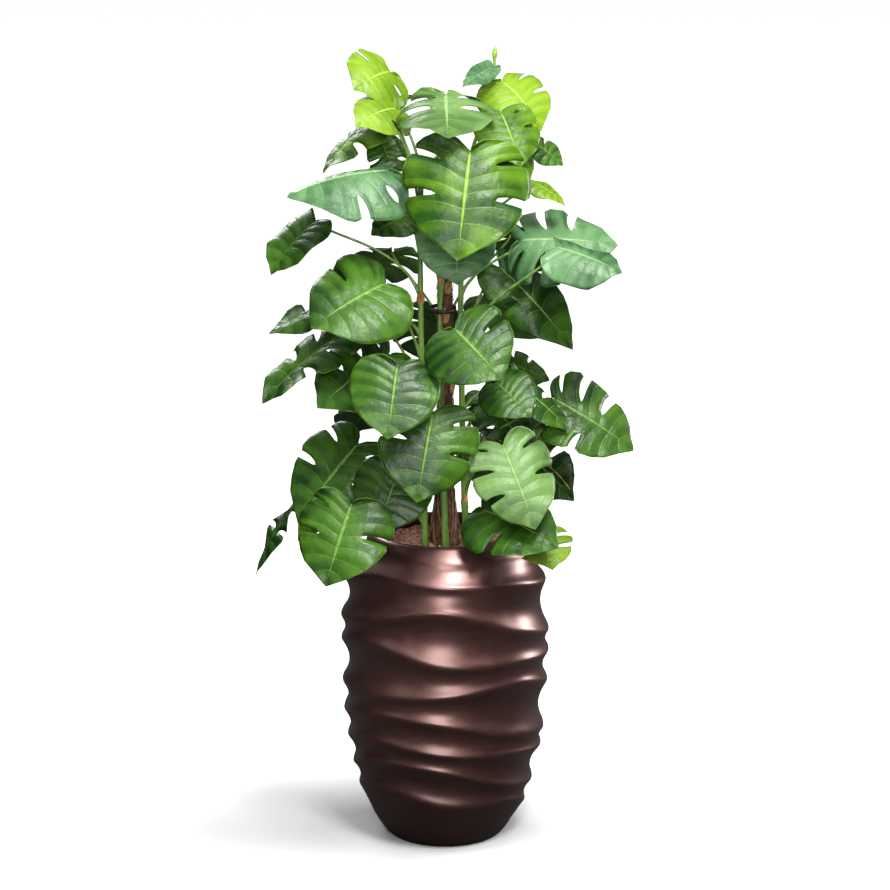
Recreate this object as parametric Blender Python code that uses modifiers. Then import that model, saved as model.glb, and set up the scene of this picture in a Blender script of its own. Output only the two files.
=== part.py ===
"""Potted monstera: a tall wavy planter, soil, gravel, a coir pole, four climbing stems and split leaves.

Metres, Z up. The origin is the centre of the planter's flat underside. The front of the plant faces -Y.
"""
import math

import bmesh
import bpy
from mathutils import Vector
from mathutils.bvhtree import BVHTree

GAP = 0.0003
BLADE = 0.0012
BLADE_CLEARANCE = 0.0006
PETIOLE = 0.0027
AROUND = 40
STRIPS, ROWS = 5, 3

# Smooth outer profile of the planter: height, radius.
BODY = ((0.0, 0.118), (0.006, 0.126), (0.0225, 0.143), (0.0475, 0.162), (0.08, 0.175), (0.102, 0.182),
        (0.154, 0.196), (0.20, 0.205), (0.26, 0.2135), (0.32, 0.217), (0.39, 0.2185), (0.477, 0.219),
        (0.553, 0.212), (0.60, 0.193), (0.63, 0.168), (0.648, 0.150))
# Smooth inner profile, from the floor of the hollow up to the rim.
INNER = ((0.012, 0.095), (0.05, 0.128), (0.10, 0.150), (0.20, 0.172), (0.32, 0.184), (0.45, 0.186),
         (0.54, 0.178), (0.60, 0.158), (0.635, 0.142), (0.650, 0.138))
# Crest heights of each wave at eight bearings, counted from the right through the back, left and front.
RIDGES = (
    (0.6150, 0.6200, 0.6260, 0.6300, 0.6360, 0.6400, 0.6260, 0.6270),
    (0.5490, 0.5600, 0.5720, 0.5630, 0.5550, 0.5890, 0.5820, 0.5730),
    (0.4420, 0.4620, 0.5000, 0.4880, 0.4730, 0.5020, 0.5310, 0.4780),
    (0.3970, 0.4050, 0.4200, 0.4320, 0.4210, 0.4530, 0.4210, 0.4140),
    (0.3310, 0.3450, 0.3400, 0.3250, 0.3330, 0.3440, 0.3570, 0.3680),
    (0.2310, 0.2500, 0.2750, 0.2900, 0.2690, 0.3030, 0.2960, 0.2560),
    (0.1910, 0.2050, 0.2150, 0.2280, 0.2110, 0.2450, 0.2300, 0.2150),
    (0.1160, 0.1300, 0.1600, 0.1750, 0.1510, 0.1980, 0.1910, 0.1410),
    (0.0660, 0.0850, 0.1000, 0.1180, 0.1040, 0.1410, 0.1130, 0.1050),
)
# A wave is this deep for each metre between its crests, up to the greatest depth.
WAVE_SHARE, WAVE_DEEPEST = 0.21, 0.019
PHASES = (0.0, 0.25, 0.5, 0.75)
SOIL_TOP, GRAVEL_TOP = 0.600, 0.624

POLE = ((0.500, 0.017), (0.625, 0.032), (0.66, 0.027), (0.72, 0.020), (0.90, 0.018), (1.15, 0.016),
        (1.38, 0.013), (1.41, 0.008))
STEMS = {
    "stem_left": ((-0.040, -0.034, 0.6005), (-0.044, -0.038, 0.80), (-0.048, -0.036, 1.05),
                  (-0.050, -0.026, 1.25), (-0.046, -0.012, 1.42)),
    "stem_front": ((0.002, -0.052, 0.6005), (-0.006, -0.046, 0.85), (-0.010, -0.042, 1.10),
                   (-0.008, -0.036, 1.30), (0.000, -0.030, 1.44)),
    "stem_right": ((0.044, -0.022, 0.6005), (0.036, -0.028, 0.85), (0.031, -0.028, 1.10),
                   (0.034, -0.020, 1.30), (0.046, -0.010, 1.42)),
    "stem_back": ((0.006, 0.052, 0.6005), (0.004, 0.040, 0.85), (0.000, 0.036, 1.10),
                  (-0.004, 0.034, 1.32)),
}
STEM_RADIUS = 0.0072
ROOTS = (("stem_right", 0.86, (0.185, -0.030, 0.845), (0.255, -0.035, 0.745)),
         ("stem_left", 0.72, (-0.100, -0.085, 0.690), (-0.125, -0.110, 0.668)))

# The rolled new leaf at the top: the stem that bears it, where its sheath leaves, its foot, its tip and its radii.
NEW_LEAF = ("stem_right", 1.36, (0.097, 0.085, 1.541), (0.101, 0.085, 1.633),
            (0.0024, 0.0042, 0.0046, 0.0040, 0.0030, 0.0034, 0.0068, 0.0012))

# Cuts of one half blade: position from the base to the tip, where the cut begins, half width, where it ends.
CUTS = {
    "none": (),
    "hole": ((0.46, 0.34, 0.030, 0.74),),
    "one": ((0.56, 0.36, 0.026, 1.0),),
    "two": ((0.40, 0.40, 0.024, 1.0), (0.62, 0.42, 0.026, 1.0)),
    "three": ((0.32, 0.42, 0.020, 1.0), (0.50, 0.36, 0.026, 1.0), (0.69, 0.40, 0.026, 1.0)),
    "deep": ((0.36, 0.22, 0.044, 1.0), (0.58, 0.24, 0.044, 1.0)),
    "deep_three": ((0.30, 0.28, 0.030, 1.0), (0.48, 0.24, 0.036, 1.0), (0.67, 0.26, 0.036, 1.0)),
    "crown": ((0.34, 0.18, 0.055, 1.0), (0.56, 0.20, 0.070, 1.0)),
    "hole_one": ((0.36, 0.36, 0.026, 0.76), (0.58, 0.44, 0.030, 1.0)),
}
HALF = ((0.020, -0.035), (0.125, -0.120), (0.275, -0.130), (0.42, -0.05), (0.51, 0.11), (0.53, 0.31),
        (0.48, 0.52), (0.36, 0.72), (0.18, 0.89), (0.0, 1.0))
FAN = 0.24

# name: junction, tip, where the upper face looks, width to length, bend, fold and droop in degrees,
# cuts of the two halves, stem, height at which the stalk leaves it, tone.
LEAVES = (
    ("front_upper", (0.048, -0.170, 1.450), (0.024, -0.240, 1.247), (0.0, -1.0, 0.35), 1.16, 0.05, 8, 32,
     "two", "two", "stem_front", 1.22, "bright"),
    ("front_mid_heart", (-0.093, -0.220, 1.038), (-0.111, -0.280, 0.905), (0.0, -1.0, 0.35), 1.18, 0.06, 6, 26,
     "none", "none", "stem_front", 0.84, "mid"),
    ("front_mid_right", (0.019, -0.200, 1.108), (0.110, -0.260, 1.019), (0.1, -1.0, 0.35), 1.28, 0.06, 6, 26,
     "none", "one", "stem_front", 0.93, "mid"),
    ("front_low_centre", (-0.024, -0.200, 0.941), (-0.055, -0.260, 0.774), (0.0, -1.0, 0.3), 1.10, 0.06, 8, 28,
     "one", "two", "stem_front", 0.76, "mid"),
    ("front_low_right", (0.114, -0.180, 0.870), (0.178, -0.250, 0.717), (0.1, -1.0, 0.35), 0.92, 0.05, 8, 28,
     "three", "two", "stem_right", 0.72, "pale"),
    ("low_left_front", (-0.186, -0.190, 0.752), (-0.235, -0.250, 0.601), (-0.2, -1.0, 0.35), 1.12, 0.05, 8, 26,
     "two", "one", "stem_left", 0.66, "mid"),
    ("low_left_glossy", (-0.092, -0.140, 0.811), (-0.135, -0.180, 0.694), (0.0, -1.0, 0.45), 1.20, 0.05, 6, 24,
     "none", "none", "stem_left", 0.69, "dark"),
    ("low_right_broad", (0.078, -0.150, 0.731), (0.225, -0.220, 0.672), (0.1, -0.8, 0.8), 0.98, 0.07, 4, 24,
     "one", "none", "stem_right", 0.65, "dark"),
    ("low_left_broad", (-0.176, -0.060, 0.846), (-0.297, -0.110, 0.692), (-0.3, -0.9, 0.45), 0.92, 0.06, 8, 30,
     "two", "hole_one", "stem_left", 0.75, "dark"),
    ("left_mid_broad", (-0.120, -0.120, 1.183), (-0.261, -0.190, 1.106), (-0.2, -0.8, 0.6), 1.20, 0.06, 10, 30,
     "one", "none", "stem_left", 1.00, "mid"),
    ("left_upper_broad", (-0.114, -0.090, 1.404), (-0.308, -0.130, 1.356), (-0.1, -0.4, 0.9), 1.02, 0.07, -14, 52,
     "none", "hole_one", "stem_left", 1.27, "blue"),
    ("crown_centre", (0.002, -0.060, 1.549), (0.005, -0.220, 1.480), (0.0, -0.5, 0.85), 1.18, 0.05, 2, 38,
     "crown", "crown", "stem_front", 1.38, "pale"),
    ("right_fingered", (0.154, -0.030, 1.257), (0.345, -0.040, 1.248), (0.1, -0.75, 0.65), 0.98, 0.06, -6, 40,
     "deep_three", "deep_three", "stem_right", 1.14, "blue"),
    ("front_upper_under", (0.020, -0.110, 1.300), (0.025, -0.170, 1.189), (0.0, -1.0, 0.25), 1.20, 0.04, 6, 22,
     "none", "none", "stem_front", 1.12, "blue"),
    ("crown_left", (-0.110, 0.050, 1.584), (-0.181, -0.030, 1.555), (-0.25, -1.0, 0.2), 1.34, 0.14, 4, 32,
     "one", "hole", "stem_left", 1.38, "young"),
    ("crown_left_lower", (-0.097, -0.020, 1.518), (-0.176, -0.090, 1.490), (-0.3, -0.9, 0.35), 1.10, 0.12, 6, 34,
     "none", "one", "stem_left", 1.34, "young"),
    ("crown_right_broad", (0.116, 0.050, 1.564), (0.191, 0.000, 1.471), (0.35, -0.85, 0.5), 1.12, 0.12, 6, 34,
     "none", "two", "stem_right", 1.38, "young"),
    ("right_upper_drape", (0.111, -0.030, 1.510), (0.149, -0.100, 1.411), (0.2, -1.0, 0.3), 1.02, 0.06, 8, 30,
     "none", "hole_one", "stem_right", 1.32, "bright"),
    ("right_upper_under", (0.111, 0.050, 1.456), (0.159, 0.020, 1.351), (0.2, -0.9, 0.4), 0.90, 0.06, 8, 26,
     "none", "one", "stem_right", 1.26, "bright"),
    ("right_lower_blue", (0.218, -0.150, 1.261), (0.343, -0.190, 1.216), (0.1, -0.55, 0.8), 1.00, 0.05, -10, 44,
     "none", "none", "stem_right", 1.02, "blue"),
    ("right_mid_long", (0.111, 0.030, 1.193), (0.259, -0.010, 1.030), (0.3, -0.8, 0.5), 0.58, 0.06, 8, 32,
     "one", "none", "stem_right", 1.02, "mid"),
    ("right_low_heart", (0.104, -0.090, 0.978), (0.171, -0.140, 0.919), (0.2, -1.0, 0.4), 1.10, 0.05, 8, 24,
     "none", "none", "stem_right", 0.84, "dark"),
    ("right_far", (0.224, -0.010, 0.928), (0.384, -0.040, 0.827), (0.2, -0.8, 0.6), 0.90, 0.05, 8, 28,
     "two", "deep_three", "stem_right", 0.78, "mid"),
    ("right_low_light", (0.122, -0.020, 0.978), (0.250, -0.070, 0.877), (0.35, -0.5, 0.75), 0.62, 0.05, 6, 30,
     "deep_three", "deep_three", "stem_right", 0.90, "bright"),
    ("left_low_dark", (-0.114, -0.060, 1.031), (-0.254, -0.130, 0.935), (-0.2, -0.8, 0.6), 1.08, 0.05, 8, 30,
     "deep_three", "one", "stem_left", 0.84, "dark"),
    ("left_low_fingered", (-0.201, -0.030, 1.072), (-0.367, -0.080, 0.933), (-0.3, -0.5, 0.8), 0.62, 0.05, 20, 28,
     "deep_three", "deep_three", "stem_left", 0.94, "mid"),
    ("left_hanging", (-0.259, -0.030, 1.295), (-0.346, -0.070, 1.193), (-0.5, -0.6, 0.5), 0.86, 0.06, 24, 30,
     "none", "none", "stem_left", 1.14, "dark"),
    ("left_mid_edge", (-0.225, 0.020, 1.115), (-0.357, 0.000, 1.061), (-0.4, -0.4, 0.85), 0.62, 0.05, 10, 28,
     "deep", "none", "stem_left", 1.06, "dark"),
    ("left_mid_dark", (-0.132, 0.03, 1.082), (-0.213, 0.03, 1.035), (-0.3, -0.7, 0.6), 0.95, 0.05, 8, 22,
     "none", "one", "stem_left", 0.92, "dark"),
    ("upper_left_fan", (-0.122, 0.030, 1.504), (-0.244, 0.000, 1.387), (-0.75, -0.45, 0.5), 0.74, 0.06, 8, 34,
     "deep_three", "deep_three", "stem_left", 1.30, "bright"),
    ("left_mid_under", (-0.066, 0.000, 1.307), (-0.148, -0.030, 1.267), (-0.1, -0.7, 0.75), 0.95, 0.05, 8, 24,
     "none", "none", "stem_left", 1.10, "mid"),
    ("upper_left_teal", (-0.104, 0.020, 1.393), (-0.137, 0.060, 1.465), (0.1, -1.0, 0.3), 0.95, 0.05, 8, 26,
     "hole", "one", "stem_left", 1.22, "dark"),
    ("crown_back", (-0.030, 0.08, 1.530), (-0.108, 0.16, 1.520), (-0.2, 0.3, 1.0), 0.90, 0.06, 6, 26,
     "one", "two", "stem_back", 1.30, "dark"),
    ("crown_right_narrow", (0.094, 0.03, 1.595), (0.034, -0.02, 1.560), (0.2, -0.5, 0.8), 0.55, 0.05, 12, 24,
     "none", "none", "stem_right", 1.33, "blue"),
    ("right_back_small", (0.171, 0.05, 1.448), (0.238, 0.05, 1.396), (0.3, -0.7, 0.6), 0.72, 0.05, 8, 22,
     "none", "one", "stem_right", 1.28, "mid"),
    ("right_pale", (0.168, -0.040, 1.376), (0.238, -0.050, 1.328), (0.3, -0.4, 0.95), 0.60, 0.08, 6, 36,
     "none", "none", "stem_right", 1.22, "young"),
    ("right_mid_back", (0.080, 0.08, 1.127), (0.210, 0.10, 1.035), (0.2, 0.8, 0.5), 0.90, 0.05, 8, 22,
     "one", "one", "stem_back", 0.98, "pale"),
    ("right_mid_fingers", (0.108, 0.08, 0.990), (0.216, 0.07, 0.950), (0.2, -0.6, 0.8), 0.90, 0.05, 8, 26,
     "three", "three", "stem_back", 0.93, "mid"),
    ("right_low_dark", (0.082, 0.02, 0.935), (0.172, 0.00, 0.810), (0.3, -0.9, 0.4), 0.80, 0.05, 8, 24,
     "two", "two", "stem_right", 0.80, "dark"),
    ("low_right_back", (0.115, 0.07, 0.845), (0.268, 0.04, 0.700), (0.3, -0.8, 0.5), 0.72, 0.05, 8, 24,
     "two", "three", "stem_right", 0.74, "mid"),
    ("low_right_young", (0.189, -0.085, 0.672), (0.216, -0.165, 0.611), (0.2, -1.0, 0.4), 1.20, 0.05, 6, 24,
     "deep_three", "deep_three", "stem_right", 0.66, "young"),
    ("low_left_young", (-0.233, -0.05, 0.730), (-0.300, -0.07, 0.645), (-0.5, -0.6, 0.6), 0.62, 0.05, 8, 22,
     "one", "none", "stem_left", 0.68, "young"),
    ("low_left_thin", (-0.315, -0.02, 0.698), (-0.389, -0.04, 0.566), (-0.9, -0.2, 0.4), 0.50, 0.05, 12, 22,
     "one", "one", "stem_left", 0.70, "dark"),
    ("low_back_pale", (0.052, 0.12, 0.800), (0.060, 0.21, 0.700), (0.1, 0.8, 0.6), 0.90, 0.05, 8, 22,
     "one", "one", "stem_back", 0.70, "pale"),
    ("back_top", (0.030, 0.13, 1.400), (0.060, 0.24, 1.270), (0.1, 1.0, 0.6), 0.98, 0.06, 8, 28,
     "two", "three", "stem_back", 1.20, "mid"),
    ("back_left", (-0.110, 0.12, 1.210), (-0.220, 0.20, 1.100), (-0.5, 0.8, 0.5), 0.98, 0.06, 8, 28,
     "three", "two", "stem_back", 1.04, "mid"),
    ("back_right", (0.140, 0.14, 1.250), (0.250, 0.21, 1.150), (0.5, 0.8, 0.5), 0.98, 0.06, 8, 28,
     "two", "two", "stem_back", 1.06, "bright"),
    ("back_mid", (-0.010, 0.15, 1.080), (-0.030, 0.26, 0.940), (0.0, 1.0, 0.5), 1.05, 0.06, 8, 28,
     "three", "three", "stem_back", 0.90, "mid"),
    ("back_low_left", (-0.110, 0.14, 0.920), (-0.210, 0.24, 0.790), (-0.5, 0.8, 0.5), 0.95, 0.06, 8, 26,
     "two", "three", "stem_back", 0.76, "dark"),
    ("back_low_right", (0.110, 0.15, 0.900), (0.200, 0.24, 0.770), (0.5, 0.8, 0.5), 0.95, 0.06, 8, 26,
     "three", "two", "stem_back", 0.73, "mid"),
)

TONES = {"young": (0.32, 0.56, 0.08), "bright": (0.16, 0.42, 0.06), "mid": (0.08, 0.28, 0.05),
         "blue": (0.13, 0.33, 0.15), "pale": (0.25, 0.42, 0.20), "dark": (0.03, 0.13, 0.03)}


def collection(name):
    made = bpy.data.collections.new(name)
    bpy.context.scene.collection.children.link(made)
    return made


def material(name, colour, rough, metallic=0.0):
    made = bpy.data.materials.new(name)
    made.use_nodes = True
    shader = made.node_tree.nodes["Principled BSDF"]
    shader.inputs["Base Color"].default_value = (*colour, 1.0)
    shader.inputs["Roughness"].default_value = rough
    shader.inputs["Metallic"].default_value = metallic
    return made


def mesh_object(name, points, faces, where, mat=None):
    mesh = bpy.data.meshes.new(name)
    mesh.from_pydata([tuple(p) for p in points], [], faces)
    mesh.update()
    made = bpy.data.objects.new(name, mesh)
    where.objects.link(made)
    if mat:
        mesh.materials.append(mat)
    return made


def settle(obj, merge=0.0):
    """Turns modifiers into plain mesh and points every face outwards."""
    bpy.context.view_layer.update()
    fresh = bpy.data.meshes.new_from_object(obj.evaluated_get(bpy.context.evaluated_depsgraph_get()))
    obj.modifiers.clear()
    obj.data = fresh
    bm = bmesh.new()
    bm.from_mesh(fresh)
    if merge:
        bmesh.ops.remove_doubles(bm, verts=bm.verts, dist=merge)
    bmesh.ops.triangulate(bm, faces=bm.faces)
    bmesh.ops.recalc_face_normals(bm, faces=bm.faces)
    bm.to_mesh(fresh)
    bm.free()


def boolean(obj, other, operation):
    mod = obj.modifiers.new(operation.title(), "BOOLEAN")
    mod.object = other
    mod.operation = operation
    mod.solver = "EXACT"


def keep_largest(obj):
    """Drops the offcuts that a Boolean leaves."""
    bm = bmesh.new()
    bm.from_mesh(obj.data)
    left, islands = set(bm.verts), []
    while left:
        stack, island = [left.pop()], []
        while stack:
            vert = stack.pop()
            island.append(vert)
            for edge in vert.link_edges:
                near = edge.other_vert(vert)
                if near in left:
                    left.discard(near)
                    stack.append(near)
        islands.append(island)
    islands.sort(key=lambda verts: -sum(f.calc_area() for v in verts for f in v.link_faces))
    for island in islands[1:]:
        bmesh.ops.delete(bm, geom=island, context="VERTS")
    bm.to_mesh(obj.data)
    bm.free()


def along(table, x):
    """Linear reading of a table of (x, value)."""
    for (x0, y0), (x1, y1) in zip(table, table[1:]):
        if x <= x1:
            return y0 + (y1 - y0) * max(0.0, (x - x0) / (x1 - x0))
    return table[-1][1]


def spline(points, x):
    """Catmull-Rom reading of evenly spaced points, x from 0 to 1."""
    last = len(points) - 1
    i = min(int(x * last), last - 1)
    f = x * last - i
    p = [Vector(points[max(0, min(last, i + k))]) for k in (-1, 0, 1, 2)]
    return 0.5 * (2 * p[1] + (p[2] - p[0]) * f + (2 * p[0] - 5 * p[1] + 4 * p[2] - p[3]) * f * f
                  + (3 * p[1] - p[0] - 3 * p[2] + p[3]) * f ** 3)


def crest(ridge, angle):
    """Height of a wave's crest at an angle, by smooth blending of its stated heights."""
    turn = (angle / (math.pi / 4)) % 8
    i = int(turn)
    a, b, c, d = (ridge[(i + k) % 8] for k in (-1, 0, 1, 2))
    f = turn - i
    return 0.5 * (2 * b + (c - a) * f + (2 * a - 5 * b + 4 * c - d) * f * f + (3 * b - a - 3 * c + d) * f ** 3)


def outside(i, phase, angle):
    """Radius and height of the planter's outside, from one wave's crest at 0 to the next crest below at 1."""
    top = crest(RIDGES[i], angle)
    low = crest(RIDGES[i + 1], angle) if i + 1 < len(RIDGES) else 0.012
    z = top + (low - top) * phase
    deep = min(WAVE_DEEPEST, WAVE_SHARE * (top - low)) if low > 0.02 else 0.008
    return along(BODY, z) - deep * math.sin(math.pi * phase) ** 0.85, z


def planter_rows():
    rows = [[(0.118, 0.0)] * AROUND, [(0.125, 0.004)] * AROUND]
    steps = []
    for i in reversed(range(len(RIDGES))):
        for phase in reversed(PHASES):
            steps.append((i, phase))
    for i, phase in steps:
        rows.append([outside(i, phase, 2 * math.pi * k / AROUND) for k in range(AROUND)])
    rows += [[(r, z)] * AROUND for r, z in ((0.152, 0.6465), (0.146, 0.651), (0.141, 0.652))]
    rows += [[(r, z)] * AROUND for z, r in reversed(INNER)]
    return rows


def lathe_rows(name, rows, where, mat):
    """A closed skin through rings of (radius, height), from one axis end to the other."""
    count = len(rows[0])
    points = [(r * math.cos(2 * math.pi * k / count), r * math.sin(2 * math.pi * k / count), z)
              for row in rows for k, (r, z) in enumerate(row)]
    faces = [(i * count + k, i * count + (k + 1) % count, (i + 1) * count + (k + 1) % count, (i + 1) * count + k)
             for i in range(len(rows) - 1) for k in range(count)]
    faces += [tuple(range(count))[::-1], tuple(range((len(rows) - 1) * count, len(rows) * count))]
    made = mesh_object(name, points, faces, where, mat)
    settle(made)
    return made


def round_rows(profile, count):
    return [[(r, z)] * count for z, r in profile]


def tube(name, path, radii, where, mat, sides=6):
    """A closed tube along a path, with flat ends."""
    points, faces, up = [], [], Vector((0.31, 0.95, 0.05))
    for i, centre in enumerate(path):
        ahead = (path[min(i + 1, len(path) - 1)] - path[max(i - 1, 0)]).normalized()
        side = ahead.cross(up).normalized()
        up = side.cross(ahead).normalized()
        for k in range(sides):
            a = 2 * math.pi * k / sides
            points.append(centre + radii[i] * (math.cos(a) * side + math.sin(a) * up))
    for i in range(len(path) - 1):
        for k in range(sides):
            n = (k + 1) % sides
            faces.append((i * sides + k, i * sides + n, (i + 1) * sides + n, (i + 1) * sides + k))
    faces += [tuple(range(sides))[::-1], tuple(range((len(path) - 1) * sides, len(path) * sides))]
    made = mesh_object(name, points, faces, where, mat)
    settle(made)
    return made


def stem_point(name, z):
    path = STEMS[name]
    for low, high in zip(path, path[1:]):
        if z <= high[2]:
            return Vector(low).lerp(Vector(high), max(0.0, (z - low[2]) / (high[2] - low[2])))
    return Vector(path[-1])


def leaf_frame(leaf):
    base, tip, look = Vector(leaf[1]), Vector(leaf[2]), Vector(leaf[3])
    ahead = (tip - base).normalized()
    face = (look - look.dot(ahead) * ahead).normalized()
    return base, (tip - base).length, ahead, face.cross(ahead), face


def stalk_path(leaf, steps):
    base, length, ahead, side, face = leaf_frame(leaf)
    start = stem_point(leaf[10], leaf[11])
    end = base - face * 0.0042
    reach = (end - start).length
    out = Vector((end.x - start.x, end.y - start.y, 0.0))
    first = start + Vector((0.0, 0.0, 0.42 * reach)) + 0.16 * out
    second = end - 0.26 * reach * (face * 0.8 + ahead * 0.25 + Vector((0.0, 0.0, 0.25))).normalized()
    path = []
    for i in range(steps + 1):
        f = i / steps
        path.append((1 - f) ** 3 * start + 3 * f * (1 - f) ** 2 * first + 3 * f * f * (1 - f) * second + f ** 3 * end)
    return path


def new_leaf_path(steps):
    foot, tip = Vector(NEW_LEAF[2]), Vector(NEW_LEAF[3])
    return [foot.lerp(tip, i / steps) for i in range(steps + 1)]


def sheath_path(steps):
    """The sheath that carries the new leaf, ending just under it."""
    start, foot = stem_point(NEW_LEAF[0], NEW_LEAF[1]), Vector(NEW_LEAF[2]) - Vector((0.0, 0.0, 0.0006))
    middle = Vector((foot.x, foot.y, start.z + 0.35 * (foot.z - start.z)))
    return [(1 - f) ** 2 * start + 2 * f * (1 - f) * middle + f * f * foot for f in (i / steps for i in range(steps + 1))]


def root_path(root, steps):
    start, middle, end = stem_point(root[0], root[1]), Vector(root[2]), Vector(root[3])
    return [(1 - f) ** 2 * start + 2 * f * (1 - f) * middle + f * f * end
            for f in (i / steps for i in range(steps + 1))]


def half_lines(cuts, strips):
    """Positions of the lines across one half blade, with a line on every cut."""
    lines = sorted([0.0, 0.13, 1.0] + [cut[0] for cut in cuts])
    while len(lines) - 1 < strips:
        i = max(range(len(lines) - 1), key=lambda k: lines[k + 1] - lines[k])
        lines.insert(i + 1, (lines[i] + lines[i + 1]) / 2)
    return lines


def blade_flat(s, t):
    """A point of the unit half blade: s from the base to the tip, t from the midrib to the margin."""
    rib = 0.035 * s / FAN if s < FAN else 0.035 + (s - FAN) / (1 - FAN) * 0.895
    edge = spline([(x, y, 0.0) for x, y in HALF], s)
    start = Vector((0.0, rib, 0.0))
    bow = 0.085 * math.sin(math.pi * s) * min(1.0, (s / 0.32) ** 2)
    middle = start.lerp(edge, 0.55) - Vector((0.0, bow, 0.0))
    return (1 - t) ** 2 * start + 2 * t * (1 - t) * middle + t * t * edge


def blade_solid(leaf, x, y):
    """Lays a flat blade point on the leaf's bent and drooping surface."""
    base, length, ahead, side, face = leaf_frame(leaf)
    width, bend, fold, droop = leaf[4], leaf[5], math.radians(leaf[6]), math.radians(leaf[7])
    a = abs(x) * width
    k = -(fold + droop) / (0.5 * width)
    across = (math.sin(fold + k * a) - math.sin(fold)) / k
    lift = (math.cos(fold) - math.cos(fold + k * a)) / k
    rise = 4 * bend * y * (1 - y) if y > 0 else 2.5 * bend * y
    return base + length * (ahead * y + side * math.copysign(across, x) + face * (lift + rise))


def opening(cut, t):
    if t <= cut[1] or (cut[3] < 1.0 and t >= cut[3]):
        return 0.0
    x = (t - cut[1]) / (cut[3] - cut[1])
    return cut[2] * (math.sin(math.pi * x) if cut[3] < 1.0 else math.sqrt(x) * (1.3 - 0.55 * x))


def row_heights(cuts, s, rows):
    """Where the rows cross a line, so that one row lies on the start of each cut."""
    start = along(((0.0, 0.45),) + tuple((c[0], c[1]) for c in cuts) + ((1.0, 0.5),), s)
    if rows == 3:
        return (0.0, start, (1 + start) / 2, 1.0)
    end = 0.75 if s == 1.0 else next((c[3] for c in cuts if c[3] < 1.0), 0.75)
    return (0.0, start, (start + end) / 2, end, 1.0)


def blade_grid(sign, cuts, rows, points, ribs):
    """Adds one half blade's points; gives each line's place on the midrib and its points below and above a cut."""
    grid = []
    for s in half_lines(cuts, STRIPS):
        cut = next((c for c in cuts if c[0] == s), None)
        low, high = [], []
        for t in row_heights(cuts, s, rows):
            wide = opening(cut, t) if cut else 0.0
            for part, shift in ((low, -wide), (high, wide)):
                if shift == 0.0 and part is high:
                    part.append(low[-1])
                    continue
                flat = blade_flat(s + shift, t)
                key = round(flat.y, 6) if t == 0.0 or s == 1.0 else None
                if key is not None and key in ribs:
                    part.append(ribs[key])
                    continue
                points.append((sign * flat.x, flat.y))
                part.append(len(points) - 1)
                if key is not None:
                    ribs[key] = part[-1]
        grid.append((round(blade_flat(s, 0.0).y, 6), low, high))
    return grid


def leaf_blade(leaf, where, mat):
    points, faces, ribs = [], [], {}
    both = (CUTS[leaf[8]], CUTS[leaf[9]])
    rows = 4 if any(c[3] < 1.0 for cuts in both for c in cuts) else 3
    grids = [blade_grid(sign, cuts, rows, points, ribs) for sign, cuts in zip((-1, 1), both)]
    for sign, grid in zip((-1, 1), grids):
        for (rib_a, _, high), (rib_b, low, _) in zip(grid, grid[1:]):
            for k in range(rows):
                between = [ribs[y] for y in sorted(ribs) if rib_a < y < rib_b] if k == 0 else []
                face = (high[k], *between, low[k], low[k + 1], high[k + 1])
                faces.append(face if sign > 0 else face[::-1])
    made = mesh_object(leaf[0], [blade_solid(leaf, x, y) for x, y in points], faces, where, mat)
    solid = made.modifiers.new("Thickness", "SOLIDIFY")
    solid.thickness, solid.offset, solid.use_even_offset = BLADE, 0.0, False
    return made


def surface(obj):
    return BVHTree.FromPolygons([v.co for v in obj.data.vertices], [tuple(p.vertices) for p in obj.data.polygons])


def trim(obj, tree, cutter):
    """Cuts one blade back where something passes through it."""
    if not surface(obj).overlap(tree):
        return False
    boolean(obj, cutter, "DIFFERENCE")
    settle(obj, 0.00001)
    keep_largest(obj)
    return True


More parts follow.
